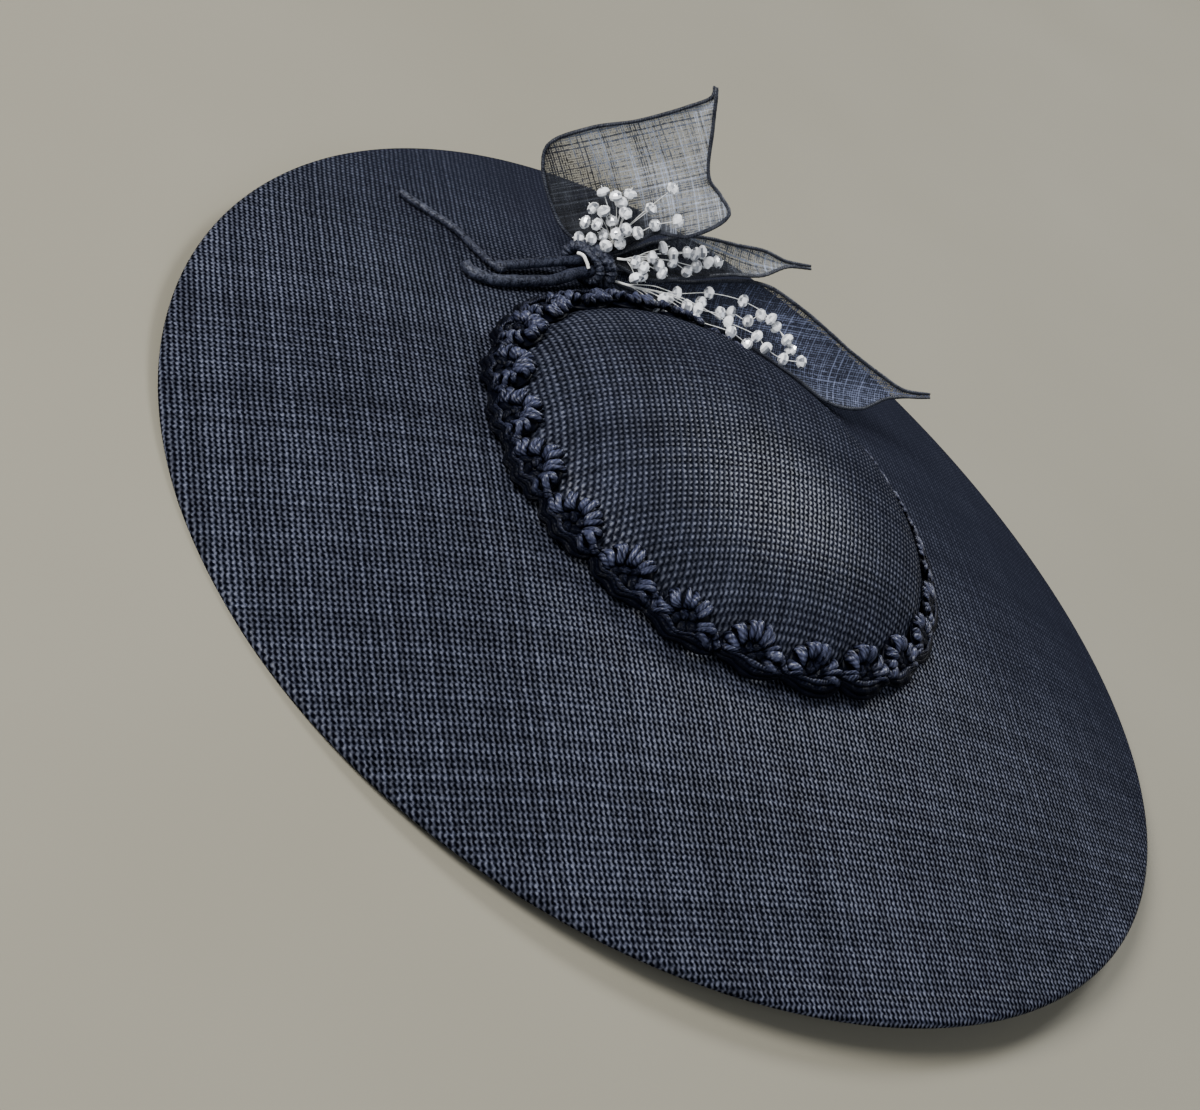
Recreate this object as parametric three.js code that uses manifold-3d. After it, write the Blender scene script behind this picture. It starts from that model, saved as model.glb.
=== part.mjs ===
// Saucer fascinator: a wide woven-straw saucer with a shallow round crown, a scalloped braid round
// the crown's base, and a spray of sheer wired leaves and beads tied to the brim beside the crown.
// Millimetres, +Z up. The hat stands on the lowest places of its rim, centred on the origin.
import * as THREE from 'three';
import { mergeVertices } from 'three/addons/utils/BufferGeometryUtils.js';
import Module from 'manifold-3d';

const wasm = await Module();
wasm.setup();

// Driving dimensions
const RIM_RADIUS = 185;
const STRAW_WALL = 1.8;
const PIECE_GAP = 0.3;

// The crown stands a little to the left of the brim's middle
const CROWN_CENTRE = { x: -5.6, y: 2 };
const CROWN_RADIUS = 78;
const CROWN_RISE = 25;
const CROWN_TUCK = 2.2;
const SHOULDER_HEIGHT = 22;

// The rim is a gentle saddle: two opposite sides lift, the two between them drop
const RIM_SWOOP = 5.7;
const SWOOP_BEARING = THREE.MathUtils.degToRad(-34);
const BRIM_FALL_POWER = 1.25;
const HEM_WIDTH = 9;
const HEM_WALL = 2.5;
const EDGE_ROUND = 1.2;

// Where the two low sides rest, the hem's underside is flattened by this much, over this width
const BEARING_FLAT = 1;
const BEARING_WIDTH = 2.2;
const LOWEST = BEARING_FLAT - RIM_SWOOP - HEM_WALL;

const SCALLOP_COUNT = 23;
const SCALLOP_PHASE = THREE.MathUtils.degToRad(-95.2);
const BRAID = { footRadius: 87.5, band: 9.5, scallop: 6.3, thickness: 2.6, cord: 1.6, slope: 0.66 };

const LEAF_WALL = 1;
const LEAF_ROLL = 1.9;
const BEAD_RADIUS = 2.2;
const WIRE_RADIUS = 0.4;
const TWIST_RADIUS = 1;
const SPRAY_TOLERANCE = 0.02;

// The knot lies on the brim behind the crown's left side, and the stems run along its axis
const KNOT = { x: -85.5, y: 61.5, axisDeg: 60, length: 12, ahead: 4.5, halfWidth: 8.5, halfHeight: 6.4, wall: 2.4 };

const BRIM_STEPS = 64;
const CROWN_STEPS = 36;

const NAVY = 0x1b2233;
const NAVY_SHEER = 0x2a3346;

const straw = { color: NAVY, roughness: 0.62, metalness: 0 };
const silkBraid = { color: 0x161c2e, roughness: 0.5, metalness: 0 };
const sheer = { color: NAVY_SHEER, roughness: 0.7, metalness: 0 };
const wrapped = { color: 0x141a2b, roughness: 0.55, metalness: 0 };
const crystal = { color: 0xe6e8e6, roughness: 0.12, metalness: 0 };
const combPlastic = { color: 0x10131a, roughness: 0.4, metalness: 0 };

const hat = new THREE.Group();
const vec = (x, y, z) => new THREE.Vector3(x, y, z);

function addPiece(name, geometry, finish) {
  const mesh = new THREE.Mesh(geometry, new THREE.MeshStandardMaterial(finish));
  mesh.name = name;
  hat.add(mesh);
}

// Near the crown the brim's rings are centred on the crown, and they ease out to the rim's own centre
function ringShift(radius) {
  return Math.min(1, (RIM_RADIUS - radius) / (RIM_RADIUS - CROWN_RADIUS));
}

// Height of the brim's upper face on the ring of this radius, at this bearing
function ringHeight(radius, bearing) {
  const out = Math.max(0, (radius - CROWN_RADIUS) / (RIM_RADIUS - CROWN_RADIUS));
  const swoop = RIM_SWOOP * out ** 2 * Math.cos(2 * (bearing - SWOOP_BEARING));
  return SHOULDER_HEIGHT * (1 - out ** BRIM_FALL_POWER) + swoop;
}

// The same height over a place on the plan
function brimHeight(x, y) {
  let radius = Math.hypot(x, y);
  let bearing = 0;
  for (let k = 0; k < 4; k++) {
    const dx = x - CROWN_CENTRE.x * ringShift(radius);
    const dy = y - CROWN_CENTRE.y * ringShift(radius);
    radius = Math.hypot(dx, dy);
    bearing = Math.atan2(dy, dx);
  }
  return ringHeight(radius, bearing);
}

// A closed surface from rings of points: each ring joins the next, and the last joins the first
function ringSolid(rings, closed) {
  const count = rings[0].length;
  const positions = rings.flat().flatMap((p) => [p.x, p.y, p.z]);
  const index = [];
  const last = closed ? rings.length : rings.length - 1;
  for (let r = 0; r < last; r++) {
    const a = r * count;
    const b = ((r + 1) % rings.length) * count;
    for (let k = 0; k < count; k++) {
      const n = (k + 1) % count;
      index.push(a + k, a + n, b + k, a + n, b + n, b + k);
    }
  }
  const geometry = new THREE.BufferGeometry();
  geometry.setAttribute('position', new THREE.Float32BufferAttribute(positions, 3));
  geometry.setIndex(index);
  return geometry;
}

// Brim: sections all the way round, each a thin wall with a thicker turned-under hem
function brimSection(angle) {
  const inner = (CROWN_RADIUS + PIECE_GAP) / Math.cos(Math.PI / BRIM_STEPS);
  const hemLine = RIM_RADIUS - HEM_WIDTH;
  const stations = [0, 0.3, 0.65, 1].map((k) => inner + (hemLine - inner) * k);
  const at = (radius, drop) => {
    const x = CROWN_CENTRE.x * ringShift(radius) + radius * Math.cos(angle);
    const y = CROWN_CENTRE.y * ringShift(radius) + radius * Math.sin(angle);
    return vec(x, y, Math.max(LOWEST, ringHeight(radius, angle) - drop));
  };
  const upper = [...stations.map((r) => at(r, 0)), at(RIM_RADIUS - EDGE_ROUND, 0)];
  const edge = [at(RIM_RADIUS, HEM_WALL * 0.35), at(RIM_RADIUS, HEM_WALL * 0.8)];
  const under = [at(RIM_RADIUS - BEARING_WIDTH, HEM_WALL), at(hemLine, HEM_WALL)];
  const back = stations.slice(0, -1).reverse().map((r) => at(r, STRAW_WALL));
  return [...upper, ...edge, ...under, ...back];
}

function brim() {
  const rings = [];
  for (let k = 0; k < BRIM_STEPS; k++) rings.push(brimSection((k / BRIM_STEPS) * 2 * Math.PI));
  return ringSolid(rings, true);
}

// Crown: a half-ellipse dome that tucks down into the brim's opening
function crown() {
  const steps = 5;
  const arc = (radius, rise) => {
    const points = [];
    for (let k = 0; k <= steps; k++) {
      const t = (k / steps) * (Math.PI / 2);
      points.push(new THREE.Vector2(radius * Math.cos(t), SHOULDER_HEIGHT + rise * Math.sin(t)));
    }
    points[steps].x = 0;
    return points;
  };
  const low = SHOULDER_HEIGHT - CROWN_TUCK;
  const outside = [new THREE.Vector2(CROWN_RADIUS, low), ...arc(CROWN_RADIUS, CROWN_RISE)];
  const innerRadius = CROWN_RADIUS - STRAW_WALL;
  const inside = [new THREE.Vector2(innerRadius, low), ...arc(innerRadius, CROWN_RISE - STRAW_WALL)];
  const profile = [...inside.reverse(), ...outside];
  const geometry = new THREE.LatheGeometry(profile, CROWN_STEPS);
  geometry.rotateX(Math.PI / 2);
  return geometry.translate(CROWN_CENTRE.x, CROWN_CENTRE.y, 0);
}

// Braid: a corded foot on the brim and a band that leans on the crown, its top edge in scallops
function braidTrim() {
  const perScallop = 4;
  const rings = [];
  const lean = Math.atan2(BRAID.slope, -1);
  const along = { r: Math.cos(lean), z: Math.sin(lean) };
  const off = { r: Math.sin(lean), z: -Math.cos(lean) };
  const total = SCALLOP_COUNT * perScallop;
  for (let k = 0; k < total; k++) {
    const angle = SCALLOP_PHASE + ((k + 0.5) / total - 0.5 / SCALLOP_COUNT) * 2 * Math.PI;
    const across = 2 * (((k + 0.5) % perScallop) / perScallop) - 1;
    const arch = Math.sqrt(1 - 0.94 * across ** 2);
    const reach = BRAID.band + BRAID.scallop * arch;
    const puff = BRAID.thickness * (0.55 + 0.6 * arch);
    const cos = Math.cos(angle);
    const sin = Math.sin(angle);
    const foot = BRAID.footRadius - BRAID.cord;
    const floor = brimHeight(CROWN_CENTRE.x + foot * cos, CROWN_CENTRE.y + foot * sin);
    const footZ = floor + PIECE_GAP + BRAID.cord * 0.7;
    const at = (s, lift) => {
      const radius = foot + s * along.r + lift * off.r;
      const z = footZ + s * along.z + lift * off.z;
      return vec(CROWN_CENTRE.x + radius * cos, CROWN_CENTRE.y + radius * sin, z);
    };
    rings.push([
      at(-BRAID.cord, -BRAID.cord * 0.4),
      at(-BRAID.cord, BRAID.cord * 0.8),
      at(reach * 0.5, puff),
      at(reach * 0.85, puff * 0.9),
      at(reach, 0.35 * puff),
      at(reach * 0.9, 0),
      at(BRAID.cord, -BRAID.cord * 0.5),
    ].reverse());
  }
  return ringSolid(rings, true);
}

// Leaves: each row is a rib from the left edge (a) to the right edge (b), from throat to tail,
// in the hat's frame; cup is how far the cloth bellies away between the two edges
const LEAF_RIBS = {
  leaf_upper: [
    { ax: -88, ay: 72.2, az: 25.6, bx: -85, by: 70.4, bz: 26, cup: 0 },
    { ax: -99.5, ay: 67.5, az: 26.5, bx: -78.6, by: 67.6, bz: 37.3, cup: 4 },
    { ax: -108.3, ay: 68.2, az: 30.5, bx: -74.5, by: 67.2, bz: 47, cup: 7 },
    { ax: -119, ay: 70.8, az: 39, bx: -64.2, by: 65.8, bz: 55, cup: 9 },
    { ax: -122, ay: 72.6, az: 46, bx: -58.2, by: 73, bz: 66.5, cup: 8 },
    { ax: -114, ay: 76, az: 58.7, bx: -64.4, by: 77.5, bz: 68.2, cup: 6 },
    { ax: -101.7, ay: 79.3, az: 71, bx: -71.3, by: 79.1, bz: 70, cup: 3 },
    { ax: -90.9, ay: 83, az: 84.7, bx: -80.3, by: 82.7, bz: 83.6, cup: 1 },
    { ax: -86.8, ay: 84.9, az: 91.6, bx: -85.2, by: 84.9, bz: 91.6, cup: 0 },
    { ax: -88.4, ay: 85.7, az: 94.6, bx: -87.2, by: 85.8, bz: 94.8, cup: 0 },
  ],
  leaf_middle: [
    { ax: -81.6, ay: 69.3, az: 29.3, bx: -78.6, by: 67.4, bz: 28.6, cup: 0.5 },
    { ax: -74, ay: 79.5, az: 37.5, bx: -68, by: 69.8, bz: 29.8, cup: 5 },
    { ax: -64.7, ay: 89, az: 44.2, bx: -57.2, by: 77.6, bz: 36, cup: 7 },
    { ax: -50.5, ay: 99.8, az: 47, bx: -46.6, by: 89.2, bz: 41.2, cup: 6.5 },
    { ax: -42.1, ay: 105.5, az: 48.8, bx: -37.7, by: 100.3, bz: 43, cup: 3 },
    { ax: -34, ay: 110.8, az: 48.2, bx: -32.3, by: 110.5, bz: 47.2, cup: 0 },
    { ax: -26.2, ay: 117, az: 49.7, bx: -25.5, by: 117.1, bz: 48.7, cup: 0 },
  ],
  leaf_lower: [
    { ax: -80.2, ay: 66.7, az: 25.5, bx: -77.1, by: 65, bz: 23.5, cup: 0 },
    { ax: -59, ay: 86, az: 28.6, bx: -56, by: 78.5, bz: 22.6, cup: 1.5 },
    { ax: -36.2, ay: 101, az: 40, bx: -31, by: 90, bz: 23, cup: 5 },
    { ax: -19.3, ay: 105.6, az: 39.8, bx: -8, by: 94.5, bz: 22.5, cup: 5 },
    { ax: 5.1, ay: 110.5, az: 36, bx: 9, by: 96, bz: 22.2, cup: 4 },
    { ax: 17, ay: 113.3, az: 34.7, bx: 18.8, by: 102, bz: 24.8, cup: 3 },
    { ax: 27.4, ay: 116.4, az: 34, bx: 24.5, by: 110.3, bz: 30.7, cup: 1 },
    { ax: 35.9, ay: 122, az: 36.4, bx: 36.7, by: 121.3, bz: 35.5, cup: 0 },
  ],
};

function leaf(ribs) {
  const ribSteps = 2 * (ribs.length - 1);
  const acrossSteps = 4;
  const left = new THREE.CatmullRomCurve3(ribs.map((r) => vec(r.ax, r.ay, r.az)), false, 'centripetal');
  const right = new THREE.CatmullRomCurve3(ribs.map((r) => vec(r.bx, r.by, r.bz)), false, 'centripetal');
  const cups = new THREE.SplineCurve(ribs.map((r, k) => new THREE.Vector2(k, r.cup)));
  const surface = (u, v) => {
    const a = left.getPoint(u);
    const b = right.getPoint(u);
    const forward = left.getTangent(u).add(right.getTangent(u)).normalize();
    const belly = forward.cross(b.clone().sub(a)).normalize();
    const depth = Math.max(0, cups.getPoint(u).y) * 4 * v * (1 - v);
    return a.lerp(b, v).addScaledVector(belly, depth);
  };
  const facing = (u, v) => {
    const step = 0.02;
    const du = surface(Math.min(1, u + step), v).sub(surface(Math.max(0, u - step), v));
    const dv = surface(u, Math.min(1, v + step)).sub(surface(u, Math.max(0, v - step)));
    return du.cross(dv).normalize();
  };
  const rings = [];
  for (let i = 0; i <= ribSteps; i++) {
    const u = i / ribSteps;
    const front = [];
    const back = [];
    for (let j = 0; j <= acrossSteps; j++) {
      const v = j / acrossSteps;
      const atEdge = j === 0 || j === acrossSteps;
      const half = (atEdge ? LEAF_ROLL : LEAF_WALL) / 2;
      const point = surface(u, v);
      const normal = facing(u, v);
      front.push(point.clone().addScaledVector(normal, -half));
      back.push(point.clone().addScaledVector(normal, half));
    }
    rings.push([...front, ...back.reverse()]);
  }
  return cappedStrip(rings, acrossSteps + 1);
}

// Rings of a flat tube with a strip of caps over its first and last ring
function cappedStrip(rings, width) {
  const geometry = ringSolid(rings, false);
  const index = Array.from(geometry.getIndex().array);
  const count = rings[0].length;
  const cap = (start, flip) => {
    for (let j = 0; j < width - 1; j++) {
      const a = start + j;
      const b = start + j + 1;
      const c = start + count - 1 - j;
      const d = start + count - 2 - j;
      const tris = flip ? [a, c, b, b, c, d] : [a, b, c, b, d, c];
      index.push(...tris);
    }
  };
  cap(0, true);
  cap((rings.length - 1) * count, false);
  geometry.setIndex(index);
  return geometry;
}

// A round rod along a smooth path, its radius easing from start to end
function rod(points, startRadius, endRadius, sides, steps) {
  const path = new THREE.CatmullRomCurve3(points, false, 'centripetal');
  const round = new THREE.Shape();
  for (let k = 0; k < sides; k++) {
    const turn = (k / sides) * 2 * Math.PI;
    const method = k === 0 ? 'moveTo' : 'lineTo';
    round[method](startRadius * Math.cos(turn), startRadius * Math.sin(turn));
  }
  const geometry = new THREE.ExtrudeGeometry(round, { steps, bevelEnabled: false, extrudePath: path });
  const position = geometry.getAttribute('position');
  const spine = path.getSpacedPoints(steps);
  const here = new THREE.Vector3();
  for (let i = 0; i < position.count; i++) {
    here.fromBufferAttribute(position, i);
    let best = 0;
    spine.forEach((p, k) => {
      if (p.distanceToSquared(here) < spine[best].distanceToSquared(here)) best = k;
    });
    const grow = 1 + (endRadius / startRadius - 1) * (best / steps);
    here.sub(spine[best]).multiplyScalar(grow).add(spine[best]);
    position.setXYZ(i, here.x, here.y, here.z);
  }
  return geometry;
}

// Places along the knot: s along its axis, side towards the crown, up from the brim
const knotTurn = THREE.MathUtils.degToRad(KNOT.axisDeg);
const knotFloor = brimHeight(KNOT.x, KNOT.y);
function byKnot(s, side, up) {
  const x = KNOT.x + s * Math.cos(knotTurn) + side * Math.sin(knotTurn);
  const y = KNOT.y + s * Math.sin(knotTurn) - side * Math.cos(knotTurn);
  return vec(x, y, knotFloor + up);
}
const KNOT_MID_UP = KNOT.halfHeight + 0.6;

// Stems: each row is a place on its route by the knot, from the end inside the knot outwards
const STEMS = {
  stem_upper: { inner: 2, outer: 1.6, route: [
    { s: 6.5, side: -3.1, up: 6.4 },
    { s: -6, side: -2.9, up: 5.8 },
    { s: -18.6, side: -4.3, up: 3.2 },
    { s: -27.6, side: -4.3, up: 2.2 },
    { s: -36.6, side: -4.2, up: 1.5 },
  ] },
  stem_lower: { inner: 2.2, outer: 2, route: [
    { s: 6.5, side: 2.6, up: 5.8 },
    { s: -8, side: 3, up: 5.6 },
    { s: -20, side: 5.3, up: 4.4 },
    { s: -37.1, side: 4.6, up: 2.9 },
    { s: -44.1, side: 3.5, up: 2.2 },
    { s: -49, side: 1, up: 1.5 },
    { s: -51.3, side: -2.4, up: 0.9 },
    { s: -51, side: -5.7, up: 0.4 },
  ] },
  stem_tendril: { inner: 1.3, outer: 1.3, route: [
    { s: -37.8, side: -1, up: 2.1 },
    { s: -38.7, side: -3.4, up: 1.6 },
    { s: -39.6, side: -6.3, up: 0.9 },
    { s: -39.4, side: -16.7, up: -1.3 },
    { s: -39.3, side: -26.9, up: -3.3 },
    { s: -43.3, side: -39, up: -5.8 },
    { s: -46.9, side: -49.5, up: -7.9 },
  ] },
};

function stem({ inner, outer, route }) {
  return rod(route.map((p) => byKnot(p.s, p.side, p.up)), inner, outer, 8, 2 * (route.length - 1));
}

// Knot: an oval band wound round the stems
function knotWrap() {
  const oval = (target, halfWidth, halfHeight) => {
    const sides = 20;
    for (let k = 0; k < sides; k++) {
      const turn = (k / sides) * 2 * Math.PI;
      const x = halfWidth * Math.sign(Math.cos(turn)) * Math.abs(Math.cos(turn)) ** 0.8;
      const y = halfHeight * Math.sign(Math.sin(turn)) * Math.abs(Math.sin(turn)) ** 0.8;
      target[k === 0 ? 'moveTo' : 'lineTo'](x, y);
    }
    return target;
  };
  const band = oval(new THREE.Shape(), KNOT.halfWidth, KNOT.halfHeight);
  band.holes.push(oval(new THREE.Path(), KNOT.halfWidth - KNOT.wall, KNOT.halfHeight - KNOT.wall * 0.75));
  const geometry = new THREE.ExtrudeGeometry(band, { depth: KNOT.length, bevelEnabled: false });
  geometry.translate(0, 0, -KNOT.ahead);
  const side = byKnot(0, 1, 0).sub(byKnot(0, 0, 0));
  const axis = byKnot(1, 0, 0).sub(byKnot(0, 0, 0));
  const basis = new THREE.Matrix4().makeBasis(side, vec(0, 0, 1), axis.negate());
  geometry.applyMatrix4(basis);
  const middle = byKnot(0, 0, KNOT_MID_UP);
  return geometry.translate(middle.x, middle.y, middle.z);
}

// A bead's rings: how far along the wire from its middle, and how wide, as parts of its radius
const BEAD_RINGS = [
  { step: -0.98, radius: 0.2 },
  { step: -0.46, radius: 0.92 },
  { step: 0.46, radius: 0.92 },
  { step: 0.98, radius: 0.2 },
];

// Bead sprays: wires fan out from a root at the knot, in a leaning plane in front of the leaf.
// Each row is a wire: its fan angle, reach and lift off that plane, its beads and their spacing
// back from the tip
const SPRAYS = {
  bead_spray_upper: { yawDeg: 0, leanDeg: 15, root: { s: 6.2, side: -1.6, up: 13.4 }, twist: 4, wires: [
    { fan: 124, reach: 23, lift: 3, beads: 2, spacing: 6 },
    { fan: 102, reach: 24, lift: 3, beads: 3, spacing: 6 },
    { fan: 135, reach: 18, lift: 5, beads: 3, spacing: 5 },
    { fan: 151, reach: 15, lift: 2, beads: 1, spacing: 5 },
    { fan: 168, reach: 12.5, lift: 4, beads: 1, spacing: 5 },
    { fan: 88, reach: 13.5, lift: 5, beads: 2, spacing: 5.2 },
    { fan: 71, reach: 15.5, lift: 6, beads: 1, spacing: 5 },
    { fan: 80, reach: 33, lift: 6, beads: 2, spacing: 10 },
    { fan: 60, reach: 29, lift: 9, beads: 1, spacing: 5 },
  ] },
  bead_spray_middle: { yawDeg: 35, leanDeg: 20, root: { s: 5.7, side: 3.4, up: 13 }, twist: 6, wires: [
    { fan: 33, reach: 18.5, lift: 2.8, beads: 1, spacing: 5 },
    { fan: 24, reach: 32, lift: 2, beads: 3, spacing: 5 },
    { fan: 13, reach: 21, lift: 3.8, beads: 3, spacing: 5 },
    { fan: 16, reach: 38, lift: 3, beads: 3, spacing: 4.6 },
    { fan: 3, reach: 17, lift: 5.5, beads: 1, spacing: 5 },
    { fan: -9, reach: 14.5, lift: 5.5, beads: 2, spacing: 4.6 },
  ] },
  bead_spray_lower: { yawDeg: 20, leanDeg: 45, root: { s: 5.7, side: 7, up: 6.2 }, twist: 14, wires: [
    { fan: 22, reach: 46, lift: -1, beads: 2, spacing: 12.5 },
    { fan: 14, reach: 63, lift: 2, beads: 2, spacing: 15 },
    { fan: 18, reach: 40, lift: 3, beads: 3, spacing: 4.8 },
    { fan: 11, reach: 71, lift: -1, beads: 2, spacing: 4.4 },
    { fan: 7.5, reach: 75, lift: 2, beads: 2, spacing: 6 },
    { fan: 13, reach: 30, lift: 0, beads: 3, spacing: 4.8 },
    { fan: 9, reach: 58, lift: -4, beads: 3, spacing: 10 },
  ] },
};

function asSolid(geometry) {
  const bare = geometry.clone();
  bare.deleteAttribute('normal');
  bare.deleteAttribute('uv');
  const merged = mergeVertices(bare, 1e-4);
  const vertProperties = new Float32Array(merged.getAttribute('position').array);
  const triVerts = new Uint32Array(merged.getIndex().array);
  return new wasm.Manifold(new wasm.Mesh({ numProp: 3, vertProperties, triVerts }));
}

function fromSolid(solid) {
  const { vertProperties, triVerts } = solid.getMesh();
  const geometry = new THREE.BufferGeometry();
  geometry.setAttribute('position', new THREE.BufferAttribute(new Float32Array(vertProperties), 3));
  geometry.setIndex(new THREE.BufferAttribute(new Uint32Array(triVerts), 1));
  return geometry;
}

// A wire with its beads, as one round section that swells at each bead; rings square to its way
function strand(rings, way) {
  const sides = 10;
  const across = way.clone().cross(vec(0, 0, 1)).normalize();
  const up = way.clone().cross(across);
  const loops = rings.map(({ centre, radius }) => Array.from({ length: sides }, (_, k) => {
    const turn = (k / sides) * 2 * Math.PI;
    const point = centre.clone().addScaledVector(across, radius * Math.cos(turn));
    return point.addScaledVector(up, radius * Math.sin(turn));
  }));
  const geometry = ringSolid(loops, false);
  const index = Array.from(geometry.getIndex().array);
  const last = (loops.length - 1) * sides;
  for (let k = 1; k < sides - 1; k++) index.push(0, k + 1, k, last, last + k, last + k + 1);
  geometry.setIndex(index);
  return geometry;
}

function beadSpray({ yawDeg, leanDeg, root, twist, wires }) {
  const start = byKnot(root.s, root.side, root.up);
  const yaw = THREE.MathUtils.degToRad(yawDeg);
  const lean = THREE.MathUtils.degToRad(leanDeg);
  const along = vec(Math.cos(yaw), Math.sin(yaw), 0);
  const rise = vec(-Math.sin(yaw) * Math.sin(lean), Math.cos(yaw) * Math.sin(lean), Math.cos(lean));
  const out = along.clone().cross(rise);
  const heading = (fan) => {
    const turn = THREE.MathUtils.degToRad(fan);
    return along.clone().multiplyScalar(Math.cos(turn)).addScaledVector(rise, Math.sin(turn));
  };
  const meanFan = wires.reduce((sum, wire) => sum + wire.fan, 0) / wires.length;
  const neck = start.clone().addScaledVector(heading(meanFan), twist);
  let spray = asSolid(rod([start, neck], TWIST_RADIUS, TWIST_RADIUS, 8, 1));
  wires.forEach(({ fan, reach, lift, beads, spacing }, wire) => {
    const way = heading(fan);
    const place = (r) => start.clone().addScaledVector(way, r).addScaledVector(out, lift);
    const parting = 0.3 + (0.65 * wire) / wires.length;
    const rings = [{ centre: start.clone().lerp(neck, parting), radius: WIRE_RADIUS }];
    for (let k = beads - 1; k >= 0; k--) {
      for (const { step, radius } of BEAD_RINGS) {
        const centre = place(reach - k * spacing + step * BEAD_RADIUS);
        rings.push({ centre, radius: radius * BEAD_RADIUS });
      }
    }
    spray = spray.add(asSolid(strand(rings, way)));
  });
  // the outer skin alone: a pocket closed in between neighbouring wires is filled
  const skins = spray.decompose();
  const skin = skins.reduce((a, b) => (b.volume() > a.volume() ? b : a));
  return fromSolid(skin.simplify(SPRAY_TOLERANCE));
}

// Comb: a curved spine along the crown's inner wall, with teeth that point across the hollow
function comb() {
  const teeth = 11;
  const outer = (CROWN_RADIUS - STRAW_WALL) * Math.cos(Math.PI / CROWN_STEPS) - PIECE_GAP;
  const spine = 6;
  const toothLength = 26;
  const sweep = THREE.MathUtils.degToRad(42);
  const pitch = sweep / (teeth - 0.5);
  const polar = (radius, angle) => new THREE.Vector2(radius * Math.cos(angle), radius * Math.sin(angle));
  const points = [];
  for (let k = 0; k <= 12; k++) points.push(polar(outer, -sweep / 2 + (k / 12) * sweep));
  for (let k = 0; k < teeth; k++) {
    const angle = sweep / 2 - k * pitch;
    const inner = outer - spine;
    const toothFoot = polar(inner, angle);
    const toothHeel = polar(inner, angle - pitch * 0.5);
    const tip = vec(-toothLength, 0, 0);
    points.push(toothFoot, new THREE.Vector2(toothFoot.x + tip.x, toothFoot.y * 0.97));
    points.push(new THREE.Vector2(toothHeel.x + tip.x, toothHeel.y * 0.97), toothHeel);
  }
  const geometry = new THREE.ExtrudeGeometry(new THREE.Shape(points), { depth: 2, bevelEnabled: false });
  geometry.rotateZ(THREE.MathUtils.degToRad(90));
  return geometry.translate(CROWN_CENTRE.x, CROWN_CENTRE.y, SHOULDER_HEIGHT - CROWN_TUCK);
}

addPiece('brim', brim(), straw);
addPiece('crown', crown(), straw);
addPiece('braid_trim', braidTrim(), silkBraid);
for (const [name, ribs] of Object.entries(LEAF_RIBS)) addPiece(name, leaf(ribs), sheer);
for (const [name, form] of Object.entries(STEMS)) addPiece(name, stem(form), wrapped);
addPiece('knot_wrap', knotWrap(), wrapped);
for (const [name, form] of Object.entries(SPRAYS)) addPiece(name, beadSpray(form), crystal);
addPiece('comb', comb(), combPlastic);

// Stand the hat on its lowest places
hat.position.z = -LOWEST;

export default hat;
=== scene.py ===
# Saucer fascinator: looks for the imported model. Sizes are in millimetres in the hat's own frame,
# whose zero height is the mean plane of the rim; pieces are made in metres, standing on z = 0.
import math

import bpy
import numpy as np
from mathutils import Matrix, Vector


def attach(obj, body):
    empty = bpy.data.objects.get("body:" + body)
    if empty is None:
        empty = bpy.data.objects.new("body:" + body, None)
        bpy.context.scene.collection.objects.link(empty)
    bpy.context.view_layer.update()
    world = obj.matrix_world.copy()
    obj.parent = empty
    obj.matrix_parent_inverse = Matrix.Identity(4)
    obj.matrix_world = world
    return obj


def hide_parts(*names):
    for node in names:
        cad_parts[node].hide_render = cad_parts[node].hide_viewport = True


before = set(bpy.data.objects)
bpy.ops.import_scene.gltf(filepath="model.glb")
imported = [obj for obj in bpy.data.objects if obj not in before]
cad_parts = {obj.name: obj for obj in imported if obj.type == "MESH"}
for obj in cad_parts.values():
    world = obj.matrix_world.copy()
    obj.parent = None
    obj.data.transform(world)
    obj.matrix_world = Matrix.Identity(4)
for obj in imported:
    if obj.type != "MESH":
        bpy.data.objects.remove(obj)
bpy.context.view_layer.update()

MM = 0.001
# Height of the rim's mean plane over the floor
STAND = 7.2

# Main sizes, as in the part's source
RIM_RADIUS = 185.0
CROWN_CENTRE = np.array([-5.6, 2.0])
CROWN_RADIUS = 78.0
CROWN_RISE = 25.0
CROWN_TUCK = 2.2
SHOULDER_HEIGHT = 22.0
STRAW_WALL = 1.8
PIECE_GAP = 0.3
RIM_SWOOP = 5.7
SWOOP_BEARING = math.radians(-34)
BRIM_FALL_POWER = 1.25
HEM_WIDTH = 9.0
HEM_WALL = 2.5
SCALLOP_COUNT = 23
SCALLOP_PHASE = math.radians(-95.2)

# Thread map of the straw cloth: thread count at a place, a polynomial in x and y over a span.
# Each row is (power of x, power of y, threads)
BRIM_CLOTH = {
    "span": RIM_RADIUS,
    "warp": [(1, 0, 90.7), (0, 1, 59.7), (2, 0, -1.9), (1, 1, 3.85), (0, 2, -6.8)],
    "weft": [(1, 0, 59.1), (0, 1, -77.1), (2, 0, 5.0), (1, 1, 3.8), (0, 2, -3.7)],
}
CROWN_CLOTH = {
    "span": CROWN_RADIUS,
    "warp": [(1, 0, 39.0), (0, 1, 17.8), (2, 0, 3.8), (1, 1, -3.6), (0, 2, -1.9)],
    "weft": [(1, 0, 24.6), (0, 1, -24.7), (2, 0, -3.5), (1, 1, -1.8), (0, 2, 0.6)],
}


def threads_at(cloth, x, y):
    """Thread counts (warp, weft) of the cloth at places on the plan."""
    x = x / cloth["span"]
    y = y / cloth["span"]
    return [sum(n * x**p * y**q for p, q, n in cloth[way]) for way in ("warp", "weft")]


# Mesh helpers

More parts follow.
